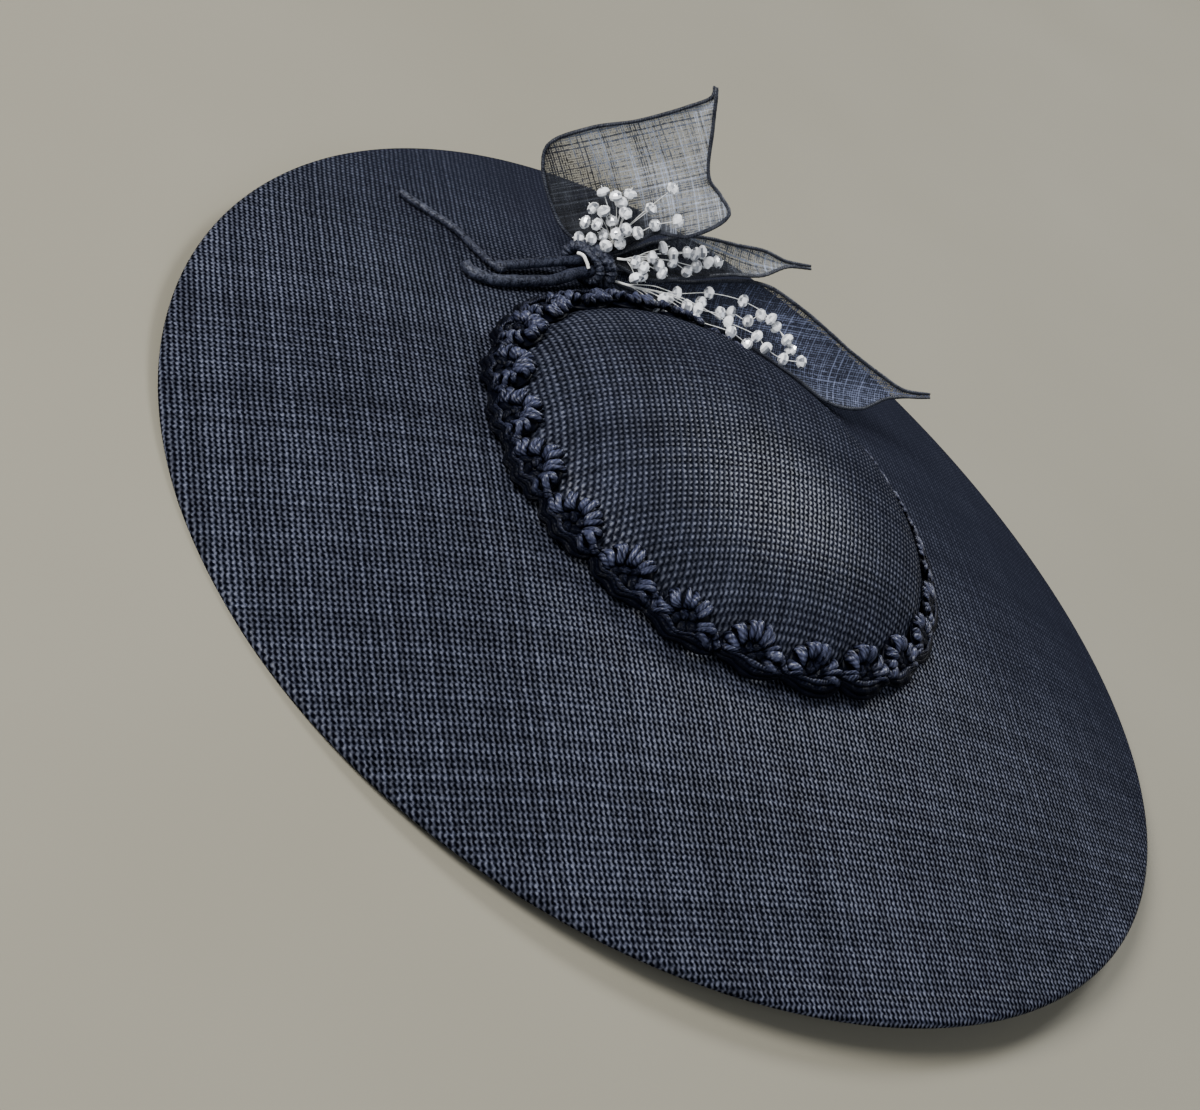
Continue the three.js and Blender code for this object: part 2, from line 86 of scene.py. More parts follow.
def mesh_object(name, verts, faces, material, uv=None, smooth=True):
    """An object at the origin from places in millimetres; uv holds one pair for each vertex."""
    places = np.asarray(verts, float) * MM
    places[:, 2] += STAND * MM
    mesh = bpy.data.meshes.new(name)
    mesh.from_pydata(places.tolist(), [], [list(map(int, f)) for f in faces])
    if uv is not None:
        layer = mesh.uv_layers.new(name="thread")
        loops = np.empty(len(mesh.loops), int)
        mesh.loops.foreach_get("vertex_index", loops)
        layer.data.foreach_set("uv", np.asarray(uv, float)[loops].ravel())
    mesh.polygons.foreach_set("use_smooth", [smooth] * len(mesh.polygons))
    mesh.materials.append(material)
    mesh.update()
    obj = bpy.data.objects.new(name, mesh)
    bpy.context.scene.collection.objects.link(obj)
    return obj


def grid_faces(rows, cols, close_rows=False, close_cols=False):
    """Quads of a grid of vertices numbered row by row."""
    faces = []
    for r in range(rows if close_rows else rows - 1):
        n = (r + 1) % rows
        for c in range(cols if close_cols else cols - 1):
            m = (c + 1) % cols
            faces.append((r * cols + c, n * cols + c, n * cols + m, r * cols + m))
    return faces


class Parts:
    """Gathers several shapes into one mesh."""

    def __init__(self):
        self.verts, self.faces, self.uv, self.count = [], [], [], 0

    def add(self, verts, faces, uv):
        self.verts.append(np.asarray(verts, float))
        self.uv.append(np.asarray(uv, float))
        self.faces += [tuple(i + self.count for i in f) for f in faces]
        self.count += len(verts)

    def build(self, name, material):
        verts = np.concatenate(self.verts)
        return mesh_object(name, verts, self.faces, material, np.concatenate(self.uv))


def unit(v):
    return v / np.maximum(np.linalg.norm(v, axis=-1, keepdims=True), 1e-9)


def smooth_path(points, count):
    """A centripetal curve through the points, at even steps of its own parameter."""
    p = np.asarray(points, float)
    first = 2 * p[0] - p[1]
    last = 2 * p[-1] - p[-2]
    p = np.vstack([first, p, last])
    spans = len(p) - 3
    out = []
    for t in np.linspace(0, spans, count):
        i = min(int(t), spans - 1)
        w = t - i
        a, b, c, d = p[i : i + 4]
        ab = max(np.linalg.norm(b - a) ** 0.5, 1e-4)
        bc = max(np.linalg.norm(c - b) ** 0.5, 1e-4)
        cd = max(np.linalg.norm(d - c) ** 0.5, 1e-4)
        start = ((b - a) / ab - (c - a) / (ab + bc) + (c - b) / bc) * bc
        end = ((c - b) / bc - (d - b) / (bc + cd) + (d - c) / cd) * bc
        out.append(
            (2 * w**3 - 3 * w**2 + 1) * b
            + (w**3 - 2 * w**2 + w) * start
            + (-2 * w**3 + 3 * w**2) * c
            + (w**3 - w**2) * end
        )
    return np.array(out)


def path_frames(path, closed=False):
    """Two steady cross directions along a path."""
    ahead = np.roll(path, -1, 0) - np.roll(path, 1, 0)
    if not closed:
        ahead[0] = path[1] - path[0]
        ahead[-1] = path[-1] - path[-2]
    tangent = unit(ahead)
    side = np.cross(tangent[0], [0.0, 0.0, 1.0])
    if np.linalg.norm(side) < 0.1:
        side = np.cross(tangent[0], [1.0, 0.0, 0.0])
    sides = []
    for t in tangent:
        side = unit(side - t * (side @ t))
        sides.append(side)
    sides = np.array(sides)
    return sides, np.cross(tangent, sides)


# About the mean height of a ridge, so that ridges leave a tube's girth as it is
RIDGE_MEAN = 0.6


def add_tube(parts, path, radius, sides=8, closed=False, ridges=None):
    """A tube along a path. Its uv is the turn round it and the length along it in millimetres.
    ridges is (strands, pitch, depth): a wound or twisted surface."""
    path = np.asarray(path, float)
    radius = np.broadcast_to(np.asarray(radius, float), (len(path),))
    across, up = path_frames(path, closed)
    steps = np.linalg.norm(np.diff(path, axis=0), axis=1)
    along = np.concatenate([[0], np.cumsum(steps)])
    turn = np.arange(sides) / sides
    swell = np.ones((len(path), sides))
    if ridges:
        strands, pitch, depth = ridges
        phase = 2 * np.pi * (strands * turn[None, :] + along[:, None] / pitch)
        swell += depth * (np.abs(np.sin(phase / 2)) - RIDGE_MEAN)
    ring = radius[:, None] * swell
    cos = np.cos(2 * np.pi * turn)
    sin = np.sin(2 * np.pi * turn)
    verts = (
        path[:, None, :]
        + across[:, None, :] * (ring * cos)[:, :, None]
        + up[:, None, :] * (ring * sin)[:, :, None]
    ).reshape(-1, 3)
    uv = np.stack(np.broadcast_arrays(turn[None, :], along[:, None]), -1).reshape(-1, 2)
    faces = [f[::-1] for f in grid_faces(len(path), sides, closed, True)]
    if not closed:
        faces.append(tuple(range(sides))[::-1])
        end = (len(path) - 1) * sides
        faces.append(tuple(range(end, end + sides)))
    parts.add(verts, faces, uv)


def add_ball(parts, centre, axes, segments=14, rings=9):
    """An ellipsoid; axes are its three half-axis vectors, the first its pole."""
    pole, a, b = (np.asarray(v, float) for v in axes)
    verts = [centre + pole]
    uv = [(0, 0)]
    for r in range(1, rings):
        lat = math.pi * r / rings
        for s in range(segments):
            lon = 2 * math.pi * s / segments
            out = a * math.cos(lon) + b * math.sin(lon)
            verts.append(centre + pole * math.cos(lat) + out * math.sin(lat))
            uv.append((s / segments, r / rings))
    verts.append(centre - pole)
    uv.append((0, 1))
    faces = []
    for s in range(segments):
        n = (s + 1) % segments
        faces.append((0, 1 + s, 1 + n))
        for r in range(rings - 2):
            low = 1 + r * segments
            high = low + segments
            faces.append((low + s, high + s, high + n, low + n))
        tail = 1 + (rings - 2) * segments
        faces.append((tail + s, len(verts) - 1, tail + n))
    if np.cross(a, b) @ pole < 0:
        faces = [f[::-1] for f in faces]
    parts.add(np.array(verts), faces, np.array(uv))


# Geometry Nodes helpers

def geometry_tree(name, inputs):
    """A tree with a geometry input and output and the named number inputs, and its two end nodes."""
    tree = bpy.data.node_groups.new(name, "GeometryNodeTree")
    face = tree.interface
    face.new_socket("Geometry", in_out="INPUT", socket_type="NodeSocketGeometry")
    for label, kind in inputs:
        face.new_socket(label, in_out="INPUT", socket_type=kind)
    face.new_socket("Geometry", in_out="OUTPUT", socket_type="NodeSocketGeometry")
    return tree, tree.nodes.new("NodeGroupInput"), tree.nodes.new("NodeGroupOutput")


def joined(tree, node, **inputs):
    """Sets a node's inputs, by name or as _number: a socket is linked, anything else is set as its value.
    Random Value takes a vector range at 0 and 1, a number range at 2 and 3, an ID at 7 and a seed at 8."""
    for label, value in inputs.items():
        number = label[1:]
        socket = node.inputs[int(number) if number.isdigit() else label.replace("_", " ")]
        if isinstance(value, bpy.types.NodeSocket):
            tree.links.new(value, socket)
        else:
            socket.default_value = value
    return node


def tree_math(tree, operation, *values):
    """A Math node's result on up to three values or sockets."""
    node = tree.nodes.new("ShaderNodeMath")
    node.operation = operation
    return joined(tree, node, **{f"_{k}": value for k, value in enumerate(values)}).outputs[0]


def apply_tree(obj, tree, values):
    """Runs a tree on an object with its inputs set, and keeps the result as the object's plain mesh."""
    modifier = obj.modifiers.new(tree.name, "NODES")
    modifier.node_group = tree
    for item in tree.interface.items_tree:
        if item.in_out == "INPUT" and item.name in values:
            modifier[item.identifier] = values[item.name]
    shown = obj.evaluated_get(bpy.context.evaluated_depsgraph_get())
    mesh = bpy.data.meshes.new_from_object(shown)
    mesh.name = obj.name
    obj.modifiers.clear()
    obj.data = mesh
    return obj


# Material helpers

class Finish:
    """A material's node tree, with short ways to add maths and textures."""

    def __init__(self, name):
        self.material = bpy.data.materials.new(name)
        self.material.use_nodes = True
        self.tree = self.material.node_tree
        self.shader = self.tree.nodes["Principled BSDF"]
        coords = self.tree.nodes.new("ShaderNodeTexCoord")
        self.place = coords.outputs["Object"]

    def node(self, kind, **inputs):
        return joined(self.tree, self.tree.nodes.new(kind), **inputs)

    def math(self, operation, *values):
        return tree_math(self.tree, operation, *values)

    def attribute(self, name):
        node = self.tree.nodes.new("ShaderNodeAttribute")
        node.attribute_name = name
        return node.outputs["Fac"]

    def along(self, axis):
        """Metres along one axis of the hat's frame."""
        return self.node("ShaderNodeSeparateXYZ", Vector=self.place).outputs[axis]

    def thread_uv(self):
        layer = self.tree.nodes.new("ShaderNodeUVMap")
        layer.uv_map = "thread"
        split = self.node("ShaderNodeSeparateXYZ", Vector=layer.outputs["UV"])
        return split.outputs["X"], split.outputs["Y"]

    def noise(self, scale, detail=2.0, stretch=None, vector=None):
        vector = vector or self.place
        if stretch:
            turned = self.node("ShaderNodeMapping", Vector=vector, Scale=stretch)
            vector = turned.outputs["Vector"]
        return self.node("ShaderNodeTexNoise", Vector=vector, Scale=scale, Detail=detail).outputs["Fac"]

    def grain(self, value):
        """A steady random number for each whole value."""
        node = self.tree.nodes.new("ShaderNodeTexWhiteNoise")
        node.noise_dimensions = "1D"
        self.tree.links.new(value, node.inputs["W"])
        return node.outputs["Value"]

    def mapped(self, value, start, end, low, high):
        """A value taken from one range to another and held inside it."""
        node = self.node("ShaderNodeMapRange", Value=value, From_Min=start, From_Max=end)
        return joined(self.tree, node, To_Min=low, To_Max=high).outputs["Result"]

    def spread(self, value, low, high):
        return self.mapped(value, 0.0, 1.0, low, high)

    def ramp(self, value, stops):
        node = self.tree.nodes.new("ShaderNodeValToRGB")
        line = node.color_ramp
        while len(line.elements) < len(stops):
            line.elements.new(0.5)
        for element, (place, colour) in zip(line.elements, stops):
            element.position = place
            element.color = (*colour, 1.0)
        self.tree.links.new(value, node.inputs["Fac"])
        return node.outputs["Color"]

    def mixed(self, blend, colour, other, amount):
        node = self.tree.nodes.new("ShaderNodeMix")
        node.data_type = "RGBA"
        node.blend_type = blend
        # Inputs 6 and 7 and output 2 are the ones for colours
        return joined(self.tree, node, Factor=amount, _6=colour, _7=other).outputs[2]

    def tinted(self, colour, amount):
        """A colour made lighter or darker by a number."""
        return self.mixed("MULTIPLY", colour, amount, 1.0)

    def blended(self, colour, other, amount):
        """A colour turned towards a fixed one by a number."""
        return self.mixed("MIX", colour, (*other, 1.0), amount)

    def bump(self, height, distance, strength):
        node = self.node("ShaderNodeBump", Height=height, Distance=distance, Strength=strength)
        return node.outputs["Normal"]

    def finish(self, colour, normal, rough, alpha=None, **plain):
        """Joins the shader up; plain values are set on its own sockets."""
        plain.update(Base_Color=colour, Roughness=rough)
        if normal is not None:
            plain["Normal"] = normal
        if alpha is not None:
            plain["Alpha"] = alpha
        joined(self.tree, self.shader, **plain)
        return self.material

    def gloss(self, level):
        """Lets the gloss vary over the surface."""
        self.tree.links.new(level, self.shader.inputs["Specular IOR Level"])


# Straw colours from the gaps up to the tops of the strands: near black in the gaps as painted shade, pale
# on the tops as a painted highlight
NAVY_STRAW = [
    (0.05, (0.0007, 0.0010, 0.0021)),
    (0.3, (0.0036, 0.0042, 0.0069)),
    (0.56, (0.0144, 0.0161, 0.0242)),
    (1.0, (0.0644, 0.0686, 0.0896)),
]
# The weave calms down towards the back: to this colour, over this stretch of Y in metres, this far
CALM_NAVY = (0.0102, 0.0113, 0.0175)
CALM_STRETCH = (0.0, 0.105)
CALM_MOST = 0.8
# How far strands wander off the thread map: grain of the noise, threads
STRAW_WANDER = ((66.0, 0.5), (420.0, 0.45))
FIBRE_RELIEF = 0.00012


def straw_cloth(name, chain_low, chain_high, slants, relief, raised, shine):
    """Woven straw on the cloth's own thread map: a sum of waves over the warp, the weft and the two slants
    between them (turn, depth), with more warp or more weft from place to place, between chain_low and
    chain_high. relief and raised scale and lift the weave; shine is the gloss of the strands' tops."""
    f = Finish(name)
    u, v = f.thread_uv()
    for scale, amount in STRAW_WANDER:
        u = f.math("ADD", u, f.math("MULTIPLY_ADD", f.noise(scale, 2.0), amount, -amount / 2))
        drift = f.noise(scale * 0.93, 2.0, stretch=(1.0, 1.0, 2.5))
        v = f.math("ADD", v, f.math("MULTIPLY_ADD", drift, amount, -amount / 2))

    def wave(value, turn, depth):
        swing = f.math("COSINE", f.math("MULTIPLY_ADD", value, 2 * math.pi, math.radians(turn)))
        return f.math("MULTIPLY", swing, depth)

    share = f.spread(f.noise(22.0, 2.0), chain_low, chain_high)
    height = f.math("ADD", 0.5, wave(u, 0.0, f.math("MULTIPLY_ADD", share, 0.16, 0.22)))
    height = f.math("ADD", height, wave(v, 0.0, f.math("MULTIPLY_ADD", share, -0.14, 0.24)))
    for across, (turn, depth) in zip((f.math("SUBTRACT", u, v), f.math("ADD", u, v)), slants):
        height = f.math("ADD", height, wave(across, turn, depth))
    height = f.math("ADD", height, f.math("MULTIPLY_ADD", f.noise(1300.0, 2.0), 0.9, -0.45))
    height = f.math("MULTIPLY_ADD", height, relief, raised)
    warp_tone = f.spread(f.grain(f.math("ROUND", u)), 0.75, 1.2)
    weft_tone = f.spread(f.grain(f.math("ROUND", v)), 0.75, 1.2)
    blotch = f.spread(f.noise(26.0, 3.0), 0.7, 1.3)
    slub = f.spread(f.noise(700.0, 2.0), 0.45, 1.55)
    tone = f.math("MULTIPLY", f.math("MULTIPLY", warp_tone, weft_tone), f.math("MULTIPLY", blotch, slub))
    # Painted shade in the gaps and a painted highlight on the strands' tops, from the weave's height
    colour = f.tinted(f.ramp(height, NAVY_STRAW), tone)
    calm = f.mapped(f.along("Y"), *CALM_STRETCH, 0.0, CALM_MOST)
    colour = f.blended(colour, CALM_NAVY, calm)
    height = f.math("MULTIPLY", height, f.math("SUBTRACT", 1.0, calm))
    normal = f.bump(height, FIBRE_RELIEF, 0.85)
    f.gloss(f.mapped(height, 0.45, 1.0, 0.0, shine))
    return f.finish(colour, normal, 0.36, Specular_IOR_Level=shine / 2)


def silky_thread(name, dark, light, pitch, rough, lay, fuzz, painted_shade=None):
    """Silky yarn or wound cloth: fine fibres that slant round the piece, glossy on their tops. The light
    colour is a painted highlight on the fibres' ridges, in irregular patches. pitch is their spacing along
    it, lay their count round it and fuzz how far they stray; the last argument names an attribute of
    painted shade, low where the yarn lies low down."""
    f = Finish(name)
    u, v = f.thread_uv()
    slant = f.math("MULTIPLY_ADD", u, lay, f.math("DIVIDE", v, pitch))
    fibre = f.math("MULTIPLY_ADD", f.noise(900.0, 3.0), fuzz, slant)
    wave = f.math("MULTIPLY", f.math("PINGPONG", fibre, 0.5), 2.0)
    patch = f.noise(330.0, 3.0)
    tone = f.math("MULTIPLY_ADD", wave, 0.4, f.math("MULTIPLY", patch, 0.6))
    # Painted shade: the attribute darkens the yarn where it lies low
    if painted_shade:
        tone = f.math("MULTIPLY", tone, f.attribute(painted_shade))
    # Painted highlight: the light colour falls on the fibres' ridges in irregular patches
    colour = f.ramp(tone, [(0.2, dark), (0.75, light)])
    normal = f.bump(wave, FIBRE_RELIEF, 0.8)
    f.gloss(f.mapped(tone, 0.25, 0.7, 0.035, 0.45))
    return f.finish(colour, normal, rough, Specular_IOR_Level=0.15)


# Sheer cloth: spacing of its threads in millimetres, and how much the veil between them covers
SHEER_PITCH = 0.8
SHEER_VEIL = 0.2


def sheer_cloth(name, thread, veil, fine, tone_low, tone_high, painted_dim, rise):
    """Sheer open cloth: fine uneven threads both ways with thicker slubs, and clear between them. thread
    and veil are the two colours, fine is the widest plain thread, tone_low to tone_high are the threads'
    own tones, and over the heights in rise the cloth is painted from shade low down to light higher up, as
    painted light. The attribute fold is high where the cloth is gathered or turned under."""
    f = Finish(name)
    u, v = f.thread_uv()
    covers, tones = [], []
    for across, along, seed in ((u, v, 0.0), (v, u, 7.3)):
        side = f.math("ADD", across, f.math("MULTIPLY_ADD", f.noise(48.0 + seed, 2.0), 1.2, -0.6))
        count = f.math("DIVIDE", side, SHEER_PITCH)
        number = f.math("FLOOR", count)
        place = f.math("ABSOLUTE", f.math("MULTIPLY_ADD", f.math("FRACT", count), 2.0, -1.0))
        width = f.spread(f.grain(f.math("ADD", number, seed)), 0.0, fine)
        run = f.node("ShaderNodeCombineXYZ", X=f.math("MULTIPLY", number, 3.7), Y=along, Z=seed).outputs[0]
        slub = f.noise(0.8, 2.0, vector=run)
        width = f.math("ADD", width, f.math("MULTIPLY_ADD", slub, 1.7, -0.9))
        within = f.math("SUBTRACT", width, 0.3)
        beyond = f.math("ADD", width, 0.3)
        covers.append(f.mapped(place, within, beyond, 1.0, 0.0))
        own_tone = f.spread(f.grain(f.math("ADD", number, seed + 0.41)), tone_low, tone_high)
        tones.append(f.math("MAXIMUM", own_tone, 0.05))
    cover = f.math("MAXIMUM", covers[0], covers[1])
    fold = f.attribute("fold")
    alpha = f.math("MULTIPLY_ADD", cover, 0.75, SHEER_VEIL)
    alpha = f.math("MINIMUM", f.math("MULTIPLY_ADD", fold, 0.5, alpha), 0.97)
    own = f.math("MULTIPLY_ADD", covers[0], tones[0], f.math("MULTIPLY", covers[1], tones[1]))
    speckle = f.spread(f.noise(520.0, 2.0), 0.5, 1.5)
    tone = f.math("MULTIPLY", speckle, f.math("MULTIPLY_ADD", own, 0.75, 0.3))
    tone = f.math("MULTIPLY", tone, f.math("MULTIPLY_ADD", fold, -0.6, 1.0))
    # Painted light: the cloth is painted darker low down and lighter higher up, where it catches more light
    tone = f.math("MULTIPLY", tone, f.mapped(f.along("Z"), *rise, painted_dim, 1.25))
    colour = f.tinted(f.ramp(cover, [(0.0, veil), (1.0, thread)]), tone)
    return f.finish(colour, None, 0.6, alpha, Specular_IOR_Level=0.1)


def clear_glass(name):
    """Clear cut glass with painted reflections: the attribute facet says how much of the light each facet
    throws back, painted into its colour from near black to white.
    """
    f = Finish(name)
    # Painted reflection: each facet's tone stands for the light it reflects and lets through
    stops = [(0.0, (0.10, 0.105, 0.12)), (0.25, (0.42, 0.43, 0.45)), (0.45, (1.0, 1.0, 1.0))]
    colour = f.ramp(f.attribute("facet"), stops)
    return f.finish(colour, None, 0.08, IOR=1.9, Transmission_Weight=0.1, Specular_IOR_Level=1.0)


def milky_core(name):
    """The white lining of a bead, cloudy from place to place."""
    f = Finish(name)
    cloud = f.noise(600.0, 2.0)
    colour = f.ramp(cloud, [(0.25, (0.74, 0.75, 0.74)), (0.6, (0.97, 0.97, 0.96))])
    return f.finish(colour, None, 0.25)


def pale_wire(name):
    """Fine wire in a pale sleeve."""
    f = Finish(name)
    streak = f.noise(300.0, 2.0)
    colour = f.ramp(streak, [(0.2, (0.55, 0.54, 0.5)), (0.8, (0.85, 0.84, 0.8))])
    return f.finish(colour, None, 0.3, Specular_IOR_Level=0.6)


def moulded_plastic(name):
    """Dark moulded plastic with a faint grain."""
    f = Finish(name)
    grain = f.noise(700.0, 3.0)
    colour = f.ramp(grain, [(0.2, (0.007, 0.008, 0.011)), (0.8, (0.015, 0.017, 0.022))])
    normal = f.bump(grain, 0.00008, 0.3)
    return f.finish(colour, normal, f.spread(f.noise(240.0, 2.0), 0.3, 0.5))


# Waves over the warp less the weft and over their sum: turn in degrees, depth
BRIM_SLANTS = ((135.0, 0.17), (10.0, 0.095))
CROWN_SLANTS = ((-48.0, 0.13), (-61.0, 0.16))
straw = straw_cloth("navy woven straw", 0.1, 0.95, BRIM_SLANTS, 1.0, raised=0.0, shine=0.07)
crown_straw = straw_cloth("navy crown straw", -0.3, 0.9, CROWN_SLANTS, 0.66, raised=0.185, shine=0.15)
braid_silk = silky_thread(
    "navy braid silk", (0.0010, 0.0013, 0.0032), (0.039, 0.044, 0.085),
    pitch=1.3, rough=0.4, lay=4.0, fuzz=0.6, painted_shade="painted_shade",
)
stem_cloth = silky_thread(
    "navy wound cloth", (0.0007, 0.0010, 0.0027), (0.025, 0.029, 0.048),
    pitch=2.6, rough=0.5, lay=2.0, fuzz=3.2,
)
edge_thread = silky_thread(
    "navy edge thread", (0.0028, 0.0035, 0.0063), (0.024, 0.027, 0.038),
    pitch=0.9, rough=0.5, lay=2.0, fuzz=2.0,
)
# The pale veil of the upper and middle leaves is painted light shining through the cloth
PAINTED_LIT_SHEER = {
    "thread": (0.105, 0.116, 0.144), "veil": (0.40, 0.42, 0.46), "fine": 0.62,
    "tone_low": -1.1, "tone_high": 2.0, "painted_dim": 0.16,
}
LEAF_FINISH = {
    "leaf_upper": sheer_cloth("navy sheer cloth", **PAINTED_LIT_SHEER, rise=(0.052, 0.062)),
    # The lower leaf is a shaded copy of the same cloth: its dark veil is painted shade and its bluer
    # threads a painted sheen
    "leaf_lower": sheer_cloth(
        "deep navy sheer cloth", (0.112, 0.127, 0.192), (0.067, 0.076, 0.115), fine=0.75,
        tone_low=0.3, tone_high=1.6, painted_dim=0.5, rise=(0.052, 0.062),
    ),
    "leaf_middle": sheer_cloth("navy sheer cloth in painted light", **PAINTED_LIT_SHEER, rise=(0.045, 0.051)),
}
glass = clear_glass("clear cut glass")
core = milky_core("milky bead core")
wire = pale_wire("pale sleeved wire")
comb_plastic = moulded_plastic("dark moulded plastic")


def seat(piece, slot, *nodes):
    """Puts a finished piece on the hat's root body and hides the solids that it stands for; slot is not
    used.
    """
    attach(piece, "root")
    if nodes:
        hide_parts(*nodes)


# Brim

def ring_shift(radius):
    return np.minimum(1.0, (RIM_RADIUS - radius) / (RIM_RADIUS - CROWN_RADIUS))


def ring_height(radius, bearing):
    out = np.maximum(0.0, (radius - CROWN_RADIUS) / (RIM_RADIUS - CROWN_RADIUS))
    swoop = RIM_SWOOP * out**2 * np.cos(2 * (bearing - SWOOP_BEARING))
    return SHOULDER_HEIGHT * (1 - out**BRIM_FALL_POWER) + swoop


def brim_height(x, y):
    radius = math.hypot(x, y)
    bearing = 0.0
    for _ in range(4):
        dx = x - CROWN_CENTRE[0] * ring_shift(radius)
        dy = y - CROWN_CENTRE[1] * ring_shift(radius)
        radius = math.hypot(dx, dy)
        bearing = math.atan2(dy, dx)
    return float(ring_height(radius, bearing))


def make_brim():
    """The saucer: a wall of straw with a turned-under hem and a rounded edge. A row of the profile is the
    radius, the drop below the cloth's top and the radius on the flat cloth."""
    turns = 300
    inner = CROWN_RADIUS + PIECE_GAP
    hem_line = RIM_RADIUS - HEM_WIDTH
    ridge, groove, seam, round_off = 0.12, 0.14, 1.4, 1.2
    profile = []
    flat_edge = RIM_RADIUS - round_off
    plain = np.linspace(inner, hem_line - 3, 30)
    hemmed = np.linspace(hem_line - 2.4, flat_edge, 19)
    for r in np.concatenate([plain, hemmed]):
        step = ridge / (1 + math.exp(-(r - hem_line) / 0.5))
        dip = groove * math.exp(-(((r - hem_line) / seam) ** 2))
        profile.append((r, dip - step, r))
    for k in range(1, 8):
        turn = math.pi * k / 8
        edge = flat_edge + round_off * math.sin(turn)
        profile.append((edge, HEM_WALL / 2 * (1 - math.cos(turn)), flat_edge + round_off * turn))
    for r in np.linspace(flat_edge, hem_line + 0.4, 6):
        profile.append((r, HEM_WALL, r))
    for r in np.linspace(hem_line - 0.4, inner, 16):
        profile.append((r, STRAW_WALL, r))
    radius, drop, laid = np.array(profile).T
    angle = np.arange(turns)[:, None] / turns * 2 * np.pi
    shift = ring_shift(radius)[None, :]
    x = CROWN_CENTRE[0] * shift + radius * np.cos(angle)
    y = CROWN_CENTRE[1] * shift + radius * np.sin(angle)
    z = np.maximum(-STAND, ring_height(radius[None, :], angle) - drop)
    verts = np.stack([x, y, z], -1).reshape(-1, 3)
    flat_x = CROWN_CENTRE[0] * shift + laid * np.cos(angle)
    flat_y = CROWN_CENTRE[1] * shift + laid * np.sin(angle)
    warp, weft = threads_at(BRIM_CLOTH, flat_x.ravel(), flat_y.ravel())
    faces = [f[::-1] for f in grid_faces(turns, len(radius), True, True)]
    return mesh_object("brim_straw", verts, faces, straw, np.stack([warp, weft], -1))


seat(make_brim(), "straw", "brim")


# Crown

def make_crown():
    """The dome: a half-ellipse wall that tucks into the brim's opening."""
    turns, steps = 192, 40

    def face(radius, rise):
        """One face of the wall as rings of radius and height, from its tucked foot up."""
        rings = [(radius, SHOULDER_HEIGHT - CROWN_TUCK)]
        for k in range(steps):
            t = k / steps * math.pi / 2
            rings.append((radius * math.cos(t), SHOULDER_HEIGHT + rise * math.sin(t)))
        return rings

    under_face = face(CROWN_RADIUS - STRAW_WALL, CROWN_RISE - STRAW_WALL)
    rings = under_face[::-1] + face(CROWN_RADIUS, CROWN_RISE)
    radius, height = np.array(rings).T
    angle = np.arange(turns)[None, :] / turns * 2 * np.pi
    x = CROWN_CENTRE[0] + radius[:, None] * np.cos(angle)
    y = CROWN_CENTRE[1] + radius[:, None] * np.sin(angle)
    z = np.broadcast_to(height[:, None], x.shape)
    verts = np.stack([x, y, z], -1).reshape(-1, 3)
    faces = [f[::-1] for f in grid_faces(len(rings), turns, False, True)]
    tops = np.array([[*CROWN_CENTRE, SHOULDER_HEIGHT + CROWN_RISE - STRAW_WALL],
                     [*CROWN_CENTRE, SHOULDER_HEIGHT + CROWN_RISE]])
    under, over = len(verts), len(verts) + 1
    last = (len(rings) - 1) * turns
    for k in range(turns):
        n = (k + 1) % turns
        faces.append((under, n, k))
        faces.append((over, last + k, last + n))
    verts = np.vstack([verts, tops])
    warp, weft = threads_at(CROWN_CLOTH, verts[:, 0], verts[:, 1])
    return mesh_object("crown_straw", verts, faces, crown_straw, np.stack([warp, weft], -1))


seat(make_crown(), "straw", "crown")


# Braid: one scallop of looped threads, set round the crown

BRAID_FOOT = 86.0
BRAID_SLOPE = 0.66
BRAID_LEAN = math.atan2(BRAID_SLOPE, -1)
BRAID_BASE = SHOULDER_HEIGHT + PIECE_GAP + 1.1
# The circle on which lengths along the braid are measured
BRAID_ROUND = 80.0
# The arch of a scallop: its middle up the slope, its ribs, and its reach and its knobs' across and up
ARCH_MIDDLE = 5.2
ARCH_RIBS = 11
ARCH_REACH = (9.4, 10.2)
KNOB_REACH = (9.5, 10.3)
BELLY_MIDDLE = 8.0
# One rib of the arch: its reach from the middle as a share, and how far it lifts
RIB_LINE = ((0.5, 1.0), (0.58, 2.3), (0.72, 3.2), (0.86, 3.1), (0.96, 2.2), (1.0, 1.2))
# Lumps: along the round, up the slope, off the slope, width; those in the valley lie along the round by
# shares of half a scallop
BELLY_LUMPS = (
    (-3.0, 5.2, 1.2, 2.0), (0.4, 4.2, 1.3, 1.8), (3.1, 5.8, 1.1, 2.1), (-0.9, 7.4, 1.4, 1.9),
    (1.7, 8.6, 1.3, 1.6),
)
VALLEY_LUMPS = ((0.9, 3.2, 1.4, 1.4), (1.06, 4.6, 1.8, 1.3), (0.93, 6.2, 1.6, 1.4), (1.07, 7.6, 1.0, 1.2))
# Cords along the foot: how low they hang, their lift and girth
FOOT_CORDS = ((-0.4, 0.9, 0.9), (1.0, 1.6, 0.95), (2.4, 2.1, 0.8))
# Where the braid is pressed flat behind the crown, and how much: lift lost, sinking, height lost
PRESSED = {"bearing": math.radians(56), "reach": math.radians(86), "fade": math.radians(42)}
PRESS_FLATTENS, PRESS_SINKS, PRESS_SHORTENS = 0.62, 1.5, 0.2
# How far the threads stray off and up the slope
STRAY_OFF, STRAY_UP = 0.55, 0.75


def slope_turn(a, b):
    """Turns (up, off) on the braid's slope to (out, rise) on the hat, and back again."""
    cos, sin = math.cos(BRAID_LEAN), math.sin(BRAID_LEAN)
    return a * cos + b * sin, a * sin - b * cos


def braid_place(turn_mm, s, lift):
    """A place on the braid beside its first scallop: along the round, up the slope, off the slope."""
    out, rise = slope_turn(s, lift)
    angle = turn_mm / BRAID_ROUND
    radius = BRAID_FOOT + out
    return np.array([radius * math.cos(angle), radius * math.sin(angle), BRAID_BASE + rise])


